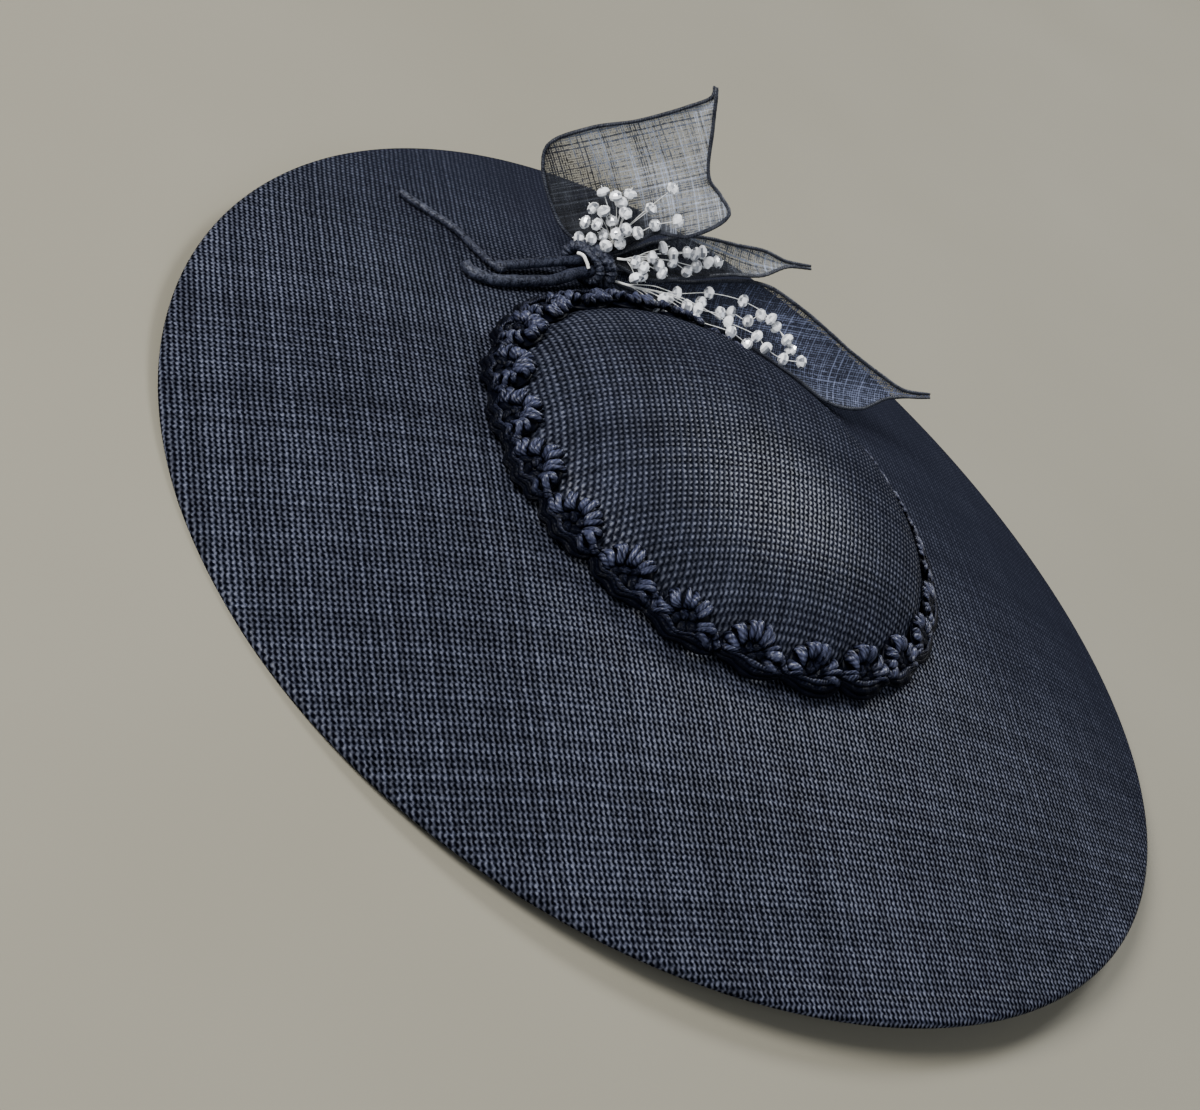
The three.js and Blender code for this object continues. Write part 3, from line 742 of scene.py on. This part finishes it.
def scallop_motif():
    """An arch of ribs with knobbed ends round a lumpy belly, with cords along its foot and lumps in the
    valley beside it. The attribute set here is painted shade, low where the yarn lies low and near the
    foot, so the belly comes out dark and the flat pad under the arch black."""
    parts = Parts()
    chance = np.random.default_rng(4)
    half = math.pi * BRAID_ROUND / SCALLOP_COUNT
    fans = np.radians(np.linspace(-100, 100, ARCH_RIBS) + chance.uniform(-5, 5, ARCH_RIBS))

    def arch(fan, reach, share):
        """Along the round and up the slope, on the arch."""
        return reach[0] * share * math.sin(fan), ARCH_MIDDLE + reach[1] * share * math.cos(fan)

    def strand(points, girth, steps):
        add_tube(parts, smooth_path(points, steps), girth, 8, ridges=(2, 3.1, 0.08))

    def ball(t, up, high, wide, long, tall, *detail):
        origin = braid_place(t, up, high)
        ends = [braid_place(t, up, high + tall), braid_place(t + wide, up, high)]
        ends.append(braid_place(t, up + long, high))
        add_ball(parts, origin, [end - origin for end in ends], *detail)

    def lump(t, up, high, wide, tall):
        ball(t, up, high, wide, wide, tall, 10, 7)

    # A flat pad low under the arch stands for the shade between the ribs; the painted shade turns it black
    ball(0, BELLY_MIDDLE, -0.6, 8.6, 7.0, 1.5)
    for fan in fans:
        tall = chance.uniform(0.8, 1.08)
        rib = [braid_place(*arch(fan, ARCH_REACH, share), lift * tall) for share, lift in RIB_LINE]
        strand(rib, chance.uniform(0.85, 1.2), 15)
        wide = chance.uniform(0.6, 0.95)
        lump(*arch(fan, KNOB_REACH, 1.0), chance.uniform(1.2, 1.9), wide, wide)
    for t, up, high, wide in BELLY_LUMPS:
        lump(t, up, high, wide, 0.9)
    for low, lift, girth in FOOT_CORDS:
        side = [(1.02, low + 3.0, 0.8), (0.6, low + 0.8, lift)]
        line = [(-t, up, high) for t, up, high in side] + [(0, low, lift + 0.3)] + side[::-1]
        strand([braid_place(half * t, up, high) for t, up, high in line], girth, 25)
    for t, up, high, wide in VALLEY_LUMPS:
        lump(half * t, up, high, wide, 1.2)
    motif = parts.build("braid_loops", braid_silk)
    place = np.concatenate(parts.verts)
    up, lift = slope_turn(np.hypot(place[:, 0], place[:, 1]) - BRAID_FOOT, place[:, 2] - BRAID_BASE)
    # Painted shade: darker the lower the yarn lies off the slope, and darker still near the foot
    near = np.clip((lift - 0.9) / 2.7, 0.0, 1.1) * np.interp(up, [0, 6], [0.4, 1.0])
    painted_shade = motif.data.attributes.new("painted_shade", "FLOAT", "POINT")
    painted_shade.data.foreach_set("value", near)
    return motif


def scallop_round():
    """Sets the motif round the crown, each one a little turned and scaled."""
    tree, given, result = geometry_tree(
        "scallops round the crown",
        [("Count", "NodeSocketInt"), ("Phase", "NodeSocketFloat"), ("Centre", "NodeSocketVector"),
         ("Silk", "NodeSocketMaterial")],
    )
    add = tree.nodes.new
    count, phase, centre, silk = (given.outputs[label] for label in ("Count", "Phase", "Centre", "Silk"))
    points = joined(tree, add("GeometryNodePoints"), Count=count, Position=centre)
    step = tree_math(tree, "DIVIDE", 2 * math.pi, count)
    angle = tree_math(tree, "MULTIPLY_ADD", add("GeometryNodeInputIndex").outputs[0], step, phase)
    sway = add("FunctionNodeRandomValue")
    sway.data_type = "FLOAT"
    joined(tree, sway, _2=-0.012, _3=0.012, _8=11)
    turn = joined(tree, add("ShaderNodeCombineXYZ"), Z=tree_math(tree, "ADD", angle, sway.outputs[1]))
    size = add("FunctionNodeRandomValue")
    size.data_type = "FLOAT_VECTOR"
    joined(tree, size, _0=(0.993, 0.993, 0.99), _1=(1.007, 1.007, 1.01), _8=5)
    placed = joined(
        tree, add("GeometryNodeInstanceOnPoints"), Points=points.outputs[0],
        Instance=given.outputs["Geometry"], Rotation=turn.outputs[0], Scale=size.outputs[0],
    )
    real = joined(tree, add("GeometryNodeRealizeInstances"), Geometry=placed.outputs[0])
    painted = joined(tree, add("GeometryNodeSetMaterial"), Geometry=real.outputs[0], Material=silk)
    tree.links.new(painted.outputs[0], result.inputs[0])
    return tree


def press_down(obj):
    """Lets the threads lie unevenly, and presses the braid flat behind the crown, where it lies low
    against the dome's foot."""
    mesh = obj.data
    flat = np.empty(len(mesh.vertices) * 3)
    mesh.vertices.foreach_get("co", flat)
    place = flat.reshape(-1, 3) / MM
    x, y, z = place.T
    dx = x - CROWN_CENTRE[0]
    dy = y - CROWN_CENTRE[1]
    bearing = np.arctan2(dy, dx)
    up, lift = slope_turn(np.hypot(dx, dy) - BRAID_FOOT, z - STAND - BRAID_BASE)
    off = np.abs((bearing - PRESSED["bearing"] + np.pi) % (2 * np.pi) - np.pi)
    press = np.clip((PRESSED["reach"] - off) / PRESSED["fade"], 0, 1)
    press = press * press * (3 - 2 * press)
    lift = lift * (1 - PRESS_FLATTENS * press) - PRESS_SINKS * press
    lift += STRAY_OFF * np.sin(0.83 * x + 1.3 * z) * np.sin(0.71 * y + 0.4) * np.clip(lift, 0, 1)
    up += STRAY_UP * np.sin(0.57 * y - 0.66 * x + 1.1) * np.clip(lift, 0, 1)
    out, rise = slope_turn(up * (1 - PRESS_SHORTENS * press), lift)
    radius = BRAID_FOOT + out
    pressed = [
        CROWN_CENTRE[0] + radius * np.cos(bearing),
        CROWN_CENTRE[1] + radius * np.sin(bearing),
        BRAID_BASE + rise + STAND,
    ]
    mesh.vertices.foreach_set("co", (np.stack(pressed, -1) * MM).ravel())
    mesh.update()


def make_braid():
    motif = scallop_motif()
    centre = (CROWN_CENTRE[0] * MM, CROWN_CENTRE[1] * MM, 0.0)
    values = {"Count": SCALLOP_COUNT, "Phase": SCALLOP_PHASE, "Centre": centre, "Silk": braid_silk}
    braid = apply_tree(motif, scallop_round(), values)
    press_down(braid)
    return braid


seat(make_braid(), "braid", "braid_trim")


# Leaves: each row is a rib from the left edge (a) to the right edge (b), from throat to tail;
# the last number is how far the cloth bellies away between the two edges

LEAF_RIBS = {
    "leaf_upper": [
        (-88, 72.2, 25.6, -85, 70.4, 26, 0),
        (-99.5, 67.5, 26.5, -78.6, 67.6, 37.3, 4),
        (-108.3, 68.2, 30.5, -74.5, 67.2, 47, 7),
        (-119, 70.8, 39, -64.2, 65.8, 55, 9),
        (-122, 72.6, 46, -58.2, 73, 66.5, 8),
        (-114, 76, 58.7, -64.4, 77.5, 68.2, 6),
        (-101.7, 79.3, 71, -71.3, 79.1, 70, 3),
        (-90.9, 83, 84.7, -80.3, 82.7, 83.6, 1),
        (-86.8, 84.9, 91.6, -85.2, 84.9, 91.6, 0),
        (-88.4, 85.7, 94.6, -87.2, 85.8, 94.8, 0),
    ],
    "leaf_middle": [
        (-81.6, 69.3, 29.3, -78.6, 67.4, 28.6, 0.5),
        (-74, 79.5, 37.5, -68, 69.8, 29.8, 5),
        (-64.7, 89, 44.2, -57.2, 77.6, 36, 7),
        (-50.5, 99.8, 47, -46.6, 89.2, 41.2, 6.5),
        (-42.1, 105.5, 48.8, -37.7, 100.3, 43, 3),
        (-34, 110.8, 48.2, -32.3, 110.5, 47.2, 0),
        (-26.2, 117, 49.7, -25.5, 117.1, 48.7, 0),
    ],
    "leaf_lower": [
        (-80.2, 66.7, 25.5, -77.1, 65, 23.5, 0),
        (-59, 86, 28.6, -56, 78.5, 22.6, 1.5),
        (-36.2, 101, 40, -31, 90, 23, 5),
        (-19.3, 105.6, 39.8, -8, 94.5, 22.5, 5),
        (5.1, 110.5, 36, 9, 96, 22.2, 4),
        (17, 113.3, 34.7, 18.8, 102, 24.8, 3),
        (27.4, 116.4, 34, 24.5, 110.3, 30.7, 1),
        (35.9, 122, 36.4, 36.7, 121.3, 35.5, 0),
    ],
}
# Thickness of the cloth, and how far its hem and its gathers at the throat darken it
LEAF_THICKNESS = 0.24
LEAF_HEM = 1.6
LEAF_GATHER = 9.0
# The way the two sets of threads run in each leaf
LEAF_THREADS = {
    "leaf_upper": ((0.61, 0.21, 0.77), (-0.746, 0.329, 0.58)),
    "leaf_middle": ((0.73, 0.63, 0.27), (0.47, -0.72, -0.52)),
    "leaf_lower": ((0.90, 0.43, 0.08), (0.48, -0.47, -0.74)),
}


def make_leaf(node, ribs):
    """A leaf of sheer cloth between two wired edges, the thread-wound edges themselves, and the cloth's
    flat size and area."""
    table = np.array(ribs, float)
    rows, cols = 72, 29
    left = smooth_path(table[:, 0:3], rows)
    right = smooth_path(table[:, 3:6], rows)
    cup = np.interp(np.linspace(0, len(table) - 1, rows), np.arange(len(table)), table[:, 6])
    cup = np.convolve(np.pad(cup, 4, "edge"), np.ones(9) / 9, "valid")
    v = np.linspace(0, 1, cols)
    forward = unit(np.gradient(left, axis=0) + np.gradient(right, axis=0))
    belly = unit(np.cross(forward, right - left))
    wave = 0.35 * np.sin(np.linspace(0, 9, rows))[:, None] * np.sin(np.linspace(0, 7, cols))[None, :]
    depth = (cup[:, None] + wave) * (4 * v * (1 - v))[None, :]
    mid = left[:, None, :] * (1 - v)[None, :, None] + right[:, None, :] * v[None, :, None]
    mid = mid + belly[:, None, :] * depth[:, :, None]
    normal = unit(np.cross(np.gradient(mid, axis=0), np.gradient(mid, axis=1)))
    half = LEAF_THICKNESS / 2
    verts = np.concatenate([(mid + normal * half).reshape(-1, 3), (mid - normal * half).reshape(-1, 3)])
    spine = (left + right) / 2
    along = np.concatenate([[0], np.cumsum(np.linalg.norm(np.diff(spine, axis=0), axis=1))])
    width = np.linalg.norm(right - left, axis=1)
    uv = mid.reshape(-1, 3) @ np.array(LEAF_THREADS[node]).T
    top = grid_faces(rows, cols)
    count = rows * cols
    faces = list(top) + [tuple(i + count for i in f[::-1]) for f in top]
    rim = list(range(cols)) + [r * cols + cols - 1 for r in range(1, rows)]
    rim += [(rows - 1) * cols + c for c in range(cols - 2, -1, -1)]
    rim += [r * cols for r in range(rows - 2, 0, -1)]
    for k, here in enumerate(rim):
        there = rim[(k + 1) % len(rim)]
        faces.append((here, there, there + count, here + count))
    cloth = mesh_object(node + "_cloth", verts, faces, LEAF_FINISH[node], np.concatenate([uv, uv]))
    hem = np.exp(-np.minimum(v, 1 - v)[None, :] * width[:, None] / LEAF_HEM)
    gather = np.exp(-along / LEAF_GATHER)[:, None]
    fold = cloth.data.attributes.new("fold", "FLOAT", "POINT")
    fold.data.foreach_set("value", np.tile(np.clip(0.6 * hem + gather, 0, 1).ravel(), 2))
    edges = Parts()
    taper = np.interp(np.linspace(0, 1, rows), [0, 0.08, 0.9, 1], [0.55, 0.68, 0.64, 0.4])
    for side in (left, right):
        add_tube(edges, side, taper, 9, ridges=(2, 2.1, 0.22))
    edging = edges.build(node + "_edge", edge_thread)
    cell = np.linalg.norm(np.cross(mid[1:, :-1] - mid[:-1, :-1], mid[:-1, 1:] - mid[:-1, :-1]), axis=-1)
    area = float(cell.sum()) * MM * MM
    flat = (float(width.max()) * MM, float(along[-1]) * MM)
    return cloth, edging, flat, area


for node, ribs in LEAF_RIBS.items():
    cloth, edging, flat, area = make_leaf(node, ribs)
    seat(cloth, "sheer", node)
    seat(edging, "sheer")


# Stems and knot

KNOT = {"x": -85.5, "y": 61.5, "axis": math.radians(60), "width": 8.5, "height": 6.4}
KNOT_FLOOR = brim_height(KNOT["x"], KNOT["y"])


def by_knot(s, side, up):
    """A place by the knot: along its axis, towards the crown, up from the brim."""
    cos, sin = math.cos(KNOT["axis"]), math.sin(KNOT["axis"])
    return np.array([KNOT["x"] + s * cos + side * sin, KNOT["y"] + s * sin - side * cos, KNOT_FLOOR + up])


# Each stem has its girth at either end and its route: places (s, side, up) from the knot outwards
STEMS = {
    "stem_upper": (2.0, 1.6, [
        (6.5, -3.1, 6.4), (-6, -2.9, 5.8), (-18.6, -4.3, 3.2), (-27.6, -4.3, 2.2), (-36.6, -4.2, 1.5)]),
    "stem_lower": (2.2, 2.0, [
        (6.5, 2.6, 5.8), (-8, 3, 5.6), (-20, 5.3, 4.4), (-37.1, 4.6, 2.9), (-44.1, 3.5, 2.2), (-49, 1, 1.5),
        (-51.3, -2.4, 0.9), (-51, -5.7, 0.4)]),
    "stem_tendril": (1.3, 1.3, [
        (-37.8, -1, 2.1), (-38.7, -3.4, 1.6), (-39.6, -6.3, 0.9), (-39.4, -16.7, -1.3),
        (-39.3, -26.9, -3.3), (-43.3, -39, -5.8), (-46.9, -49.5, -7.9)]),
}
# The lump where the tendril is tied on: its middle, and the ends of its three half-axes
TENDRIL_TIE = ((-37.7, -3.3, 1.9), (-37.7, -0.6, 2.4), (-35.5, -3.5, 2.1), (-37.7, -3.5, 3.9))


def make_stem(node, inner, outer, route):
    """A wire wound with cloth: a tapering tube with slanting wraps and a rounded tip."""
    steps = 26 * (len(route) - 1)
    path = smooth_path([by_knot(*p) for p in route], steps)
    chance = np.random.default_rng(len(route))
    lumps = np.convolve(chance.uniform(-1, 1, steps + 8), np.ones(9) / 9, "valid")
    radius = np.linspace(inner, outer, steps) * (0.97 + 0.22 * lumps)
    tip = np.minimum(1.0, np.sqrt(np.linspace(steps / 2.0, 0.02, steps)))
    parts = Parts()
    add_tube(parts, path, radius * tip, 14, ridges=(3, 6.5, 0.05))
    if node == "stem_tendril":
        origin, *ends = (by_knot(*p) for p in TENDRIL_TIE)
        add_ball(parts, origin, [end - origin for end in ends])
    return parts.build(node + "_wound", stem_cloth)


for node, (inner, outer, route) in STEMS.items():
    seat(make_stem(node, inner, outer, route), "wrapped", node)


# Bands of the knot: middle along the axis, how far the right side leads the left, girth, swell
KNOT_BANDS = ((-1.7, 5.0, 1.6, 0.0), (0.9, 2.6, 1.7, 0.5), (-3.6, 2.2, 1.3, -0.5), (2.9, 0.6, 1.4, 0.2))
KNOT_WIRE = ((-6.8, -2.6, 9.6), (-6.2, -0.6, 10.4), (-5.6, 1.8, 9.6), (-5.2, 3.8, 8.4))


def make_knot():
    """Gathered cloth wound over the stems: slanting ruched bands that cross one another."""
    parts = Parts()
    middle = KNOT["height"] + 0.6
    count = 120
    turn = np.arange(count) / count * 2 * np.pi

    def bowed(wave):
        return np.sign(wave) * np.abs(wave) ** 0.85

    for k, (s, slant, girth, grow) in enumerate(KNOT_BANDS):
        side = bowed(np.cos(turn)) * (KNOT["width"] - 1.6 + grow)
        up = bowed(np.sin(turn)) * (KNOT["height"] - 1.5 + grow)
        path = [by_knot(s + slant * math.cos(t), w, middle + h) for t, w, h in zip(turn, side, up)]
        swell = girth * (1 + 0.12 * np.sin(turn * 19 + k) + 0.08 * np.sin(turn * 31 + 2 * k))
        add_tube(parts, path, swell, 12, True, ridges=(3, 9.0, 0.22))
    return parts.build("knot_bands", stem_cloth)


def make_knot_wire():
    """A bare pale wire end that bends out over the stems."""
    parts = Parts()
    add_tube(parts, smooth_path([by_knot(*p) for p in KNOT_WIRE], 24), 0.6, 10)
    return parts.build("knot_wire", wire)


seat(make_knot(), "wrapped", "knot_wrap")
seat(make_knot_wire(), "crystal")


# Bead sprays: each row is a bead's place in its spray's leaning plane: the angle and distance from
# the root, and how far it stands off the plane

SPRAYS = {
    "bead_spray_upper": {"yaw": 0, "lean": 15, "root": (6.2, -1.6, 13.4), "neck": (108, 4), "beads": [
        (133, 19.3, 3), (118, 18.4, 6), (106, 19.8, 2), (112, 16.5, 4), (100, 14.2, 7), (149, 14.8, 3),
        (133, 13.1, 5.5), (122, 9.4, 2.5), (169, 12.2, 4), (150, 9.4, 6), (153, 5.1, 3), (97, 6.1, 5),
        (85, 9.7, 7), (66, 11.5, 4), (65, 18.4, 6), (80, 20.9, 8), (80, 30.6, 6), (60, 26.8, 9),
        (65, 4.1, 3), (-162, 11.0, 4), (-173, 6.9, 5), (159, 1.4, 5.5)]},
    "bead_spray_middle": {"yaw": 35, "lean": 20, "root": (5.7, 3.4, 13), "neck": (14, 5), "beads": [
        (37, 15.9, 2.8), (28, 11.4, 3.5), (21, 5.4, 3.8), (8, 8.4, 4.5), (-24, 7.5, 5), (-12, 9.6, 4.2),
        (13.5, 14.3, 3.6), (18, 19.7, 2.4), (26, 19.6, 2), (26, 24.7, 2.2), (25, 27.4, 3), (26, 29.9, 3.4),
        (19, 36.2, 3), (19, 32.1, 4), (16, 28.4, 3.2), (12, 24.7, 4.4), (6, 15.7, 4.6)]},
    "bead_spray_lower": {"yaw": 20, "lean": 45, "root": (5.7, 7, 6.2), "neck": (10, 13), "beads": [
        (16.4, 23.5, 1), (20.4, 35.6, 0), (18.7, 48.1, 1), (6.4, 18.7, 2), (11.4, 21.6, -1), (-7.3, 17, 3),
        (8.9, 28, 1), (14.5, 33.5, -1), (9, 31.8, 2), (1.7, 31.7, 3), (-5.7, 21.2, 2.5), (10.9, 40.4, 1),
        (13.4, 45, -1), (7.8, 43.7, 2), (3.4, 45.2, 4), (11.2, 51.1, 1), (15.1, 56.2, -1), (14, 59, 2),
        (12.2, 62.2, 0), (6.4, 55.1, 3), (3.5, 59.3, 4), (2.4, 52.9, 2), (9.3, 67, 1), (7.1, 70, -1),
        (2.8, 66.9, 3), (4.5, 74, 2)]},
}
BEAD_RADIUS = 2.35
BEAD_SIDES, BEAD_RINGS = 8, 6
CORE_SHARE = 0.62
WIRE_RADIUS = 0.14
NECK_RADII = [0.45, 0.4, 0.3]
# Least distance from one bead to the next on a wire
STRING_STEP = 4.0


def spray_plane(form):
    yaw, lean = math.radians(form["yaw"]), math.radians(form["lean"])
    along = np.array([math.cos(yaw), math.sin(yaw), 0.0])
    rise = np.array([-math.sin(yaw) * math.sin(lean), math.cos(yaw) * math.sin(lean), math.cos(lean)])
    out = np.cross(along, rise)
    root = by_knot(*form["root"])

    def place(fan, reach, lift):
        turn = math.radians(fan)
        return root + (along * math.cos(turn) + rise * math.sin(turn)) * reach + out * lift

    return root, place


def bead_round():
    """Sets a cut glass bead with a milky core at each vertex, its hole along the wire, and gives every
    facet a chance number of its own."""
    tree, given, result = geometry_tree(
        "beads on their wires",
        [("Radius", "NodeSocketFloat"), ("Core share", "NodeSocketFloat"), ("Glass", "NodeSocketMaterial"),
         ("Core", "NodeSocketMaterial")],
    )
    add = tree.nodes.new
    outer = given.outputs["Radius"]
    inner = tree_math(tree, "MULTIPLY", outer, given.outputs["Core share"])
    both = add("GeometryNodeJoinGeometry")
    for radius, finish in ((outer, given.outputs["Glass"]), (inner, given.outputs["Core"])):
        ball = joined(tree, add("GeometryNodeMeshUVSphere"), Segments=BEAD_SIDES, Rings=BEAD_RINGS)
        joined(tree, ball, Radius=radius)
        painted = joined(tree, add("GeometryNodeSetMaterial"), Geometry=ball.outputs[0], Material=finish)
        tree.links.new(painted.outputs[0], both.inputs[0])
    points = joined(tree, add("GeometryNodeMeshToPoints"), Mesh=given.outputs["Geometry"])
    way = add("GeometryNodeInputNamedAttribute")
    way.data_type = "FLOAT_VECTOR"
    way.inputs["Name"].default_value = "way"
    facing = add("FunctionNodeAlignRotationToVector")
    facing.axis = "Z"
    joined(tree, facing, Vector=way.outputs[0])
    size = add("FunctionNodeRandomValue")
    size.data_type = "FLOAT_VECTOR"
    joined(tree, size, _0=(0.98, 0.98, 0.66), _1=(1.1, 1.1, 0.84), _8=3)
    placed = joined(
        tree, add("GeometryNodeInstanceOnPoints"), Points=points.outputs[0], Instance=both.outputs[0],
        Rotation=facing.outputs[0], Scale=size.outputs[0],
    )
    real = joined(tree, add("GeometryNodeRealizeInstances"), Geometry=placed.outputs[0])
    # A chance number for each facet, read by the glass as its painted reflection
    chance = add("FunctionNodeRandomValue")
    chance.data_type = "FLOAT"
    joined(tree, chance, _7=add("GeometryNodeInputIndex").outputs[0], _8=17)
    marked = add("GeometryNodeStoreNamedAttribute")
    marked.data_type = "FLOAT"
    marked.domain = "FACE"
    joined(tree, marked, Geometry=real.outputs[0], Name="facet", Value=chance.outputs[1])
    tree.links.new(marked.outputs[0], result.inputs[0])
    return tree


def bead_strings(neck, places):
    """Threads the beads on wires: each goes on beyond the nearest free bead that lies inwards of it."""
    reach = np.linalg.norm(places - neck, axis=1)
    last_of, strings = {}, []
    for k in np.argsort(reach):
        best, best_cost = None, reach[k] * 0.75
        for j, string in last_of.items():
            gap = places[k] - places[j]
            forward = gap @ unit(places[j] - neck)
            cost = np.linalg.norm(gap) + 2.0 * np.linalg.norm(gap - forward * unit(places[j] - neck))
            if forward > STRING_STEP and cost < best_cost:
                best, best_cost = j, cost
        string = last_of.pop(best) if best is not None else []
        if not string:
            strings.append(string)
        string.append(k)
        last_of[k] = string
    return strings


def make_spray(node, form, tree):
    root, place = spray_plane(form)
    neck = place(*form["neck"], 0.8)
    places = np.array([place(*row) for row in form["beads"]])
    strands = Parts()
    ways = unit(places - neck)
    add_tube(strands, [root, (root + neck) / 2, neck], NECK_RADII)
    for n, string in enumerate(bead_strings(neck, places)):
        start = root + (neck - root) * (0.35 + 0.6 * (n % 4) / 4)
        first = places[string[0]]
        arch = np.array([0, 0, 1.0]) * 0.07 * np.linalg.norm(first - start)
        points = [start, start + (first - start) * 0.5 + arch] + [places[k] for k in string]
        tail = points[-1] + unit(points[-1] - points[-2]) * BEAD_RADIUS
        path = smooth_path(points + [tail], 7 * len(points))
        add_tube(strands, path, WIRE_RADIUS, 5)
        for k in string:
            near = int(np.argmin(np.linalg.norm(path - places[k], axis=1)))
            near = min(max(near, 1), len(path) - 2)
            ways[k] = unit(path[near + 1] - path[near - 1])
    obj = mesh_object(node + "_beads", places, [], glass)
    attribute = obj.data.attributes.new("way", "FLOAT_VECTOR", "POINT")
    attribute.data.foreach_set("vector", ways.ravel())
    values = {"Radius": BEAD_RADIUS * MM, "Core share": CORE_SHARE, "Glass": glass, "Core": core}
    apply_tree(obj, tree, values)
    wires = strands.build(node + "_wires", wire)
    return obj, wires


bead_tree = bead_round()
for node, form in SPRAYS.items():
    strung, wires = make_spray(node, form, bead_tree)
    seat(strung, "crystal", node)
    seat(wires, "crystal")


# Comb: the CAD solid keeps its shape and gets its moulded finish

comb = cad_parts["comb"]
for held in comb.material_slots:
    held.material = comb_plastic


# Floor, light and camera

def make_floor():
    f = Finish("pale floor")
    colour = f.ramp(f.noise(6.0, 2.0), [(0.3, (0.165, 0.150, 0.109)), (0.7, (0.176, 0.161, 0.119))])
    f.finish(colour, None, 0.85)
    size = 6000.0
    verts = [(-size, -size, -STAND), (size, -size, -STAND), (size, size, -STAND), (-size, size, -STAND)]
    floor = mesh_object("floor", verts, [(0, 1, 2, 3)], f.material, smooth=False)


def make_light(name, place, target, size, watts, colour):
    data = bpy.data.lights.new(name, "AREA")
    data.shape = "DISK"
    data.size = size
    data.energy = watts
    data.color = colour
    lamp = bpy.data.objects.new(name, data)
    lamp.location = place
    aim = np.array(target) - np.array(place)
    lamp.rotation_euler = Vector(aim).to_track_quat("-Z", "Y").to_euler()
    bpy.context.scene.collection.objects.link(lamp)


def make_camera():
    data = bpy.data.cameras.new("camera")
    data.lens = 72.0
    data.sensor_width = 36.0
    data.sensor_fit = "HORIZONTAL"
    data.clip_end = 50.0
    camera = bpy.data.objects.new("camera", data)
    right = (0.7886, 0.3412, 0.5116)
    up = (-0.6149, 0.4375, 0.6561)
    forward = (0.0, 0.8320, -0.5548)
    place = (-22.157, -662.426, 416.822 + STAND)
    turn = np.array([right, up, [-c for c in forward]]).T
    camera.matrix_world = Matrix([[*row, mm * MM] for row, mm in zip(turn, place)] + [[0, 0, 0, 1]])
    bpy.context.scene.collection.objects.link(camera)
    bpy.context.scene.camera = camera


make_floor()
make_light("key", (-0.9, -0.6, 1.1), (0, 0, 0), 0.8, 48.6, (0.97, 0.98, 1.0))
make_light("fill", (0.9, -1.0, 0.9), (0, 0, 0), 1.2, 12.5, (0.8, 0.88, 1.0))
make_light("back", (0.25, 1.2, 1.15), (0, 0.0, 0.03), 0.55, 28.6, (0.93, 0.96, 1.0))
make_camera()

world = bpy.data.worlds.new("soft room")
bpy.context.scene.world = world
world.use_nodes = True
joined(world.node_tree, world.node_tree.nodes["Background"], Color=(0.82, 0.84, 0.88, 1), Strength=0.314)

bpy.context.view_layer.update()
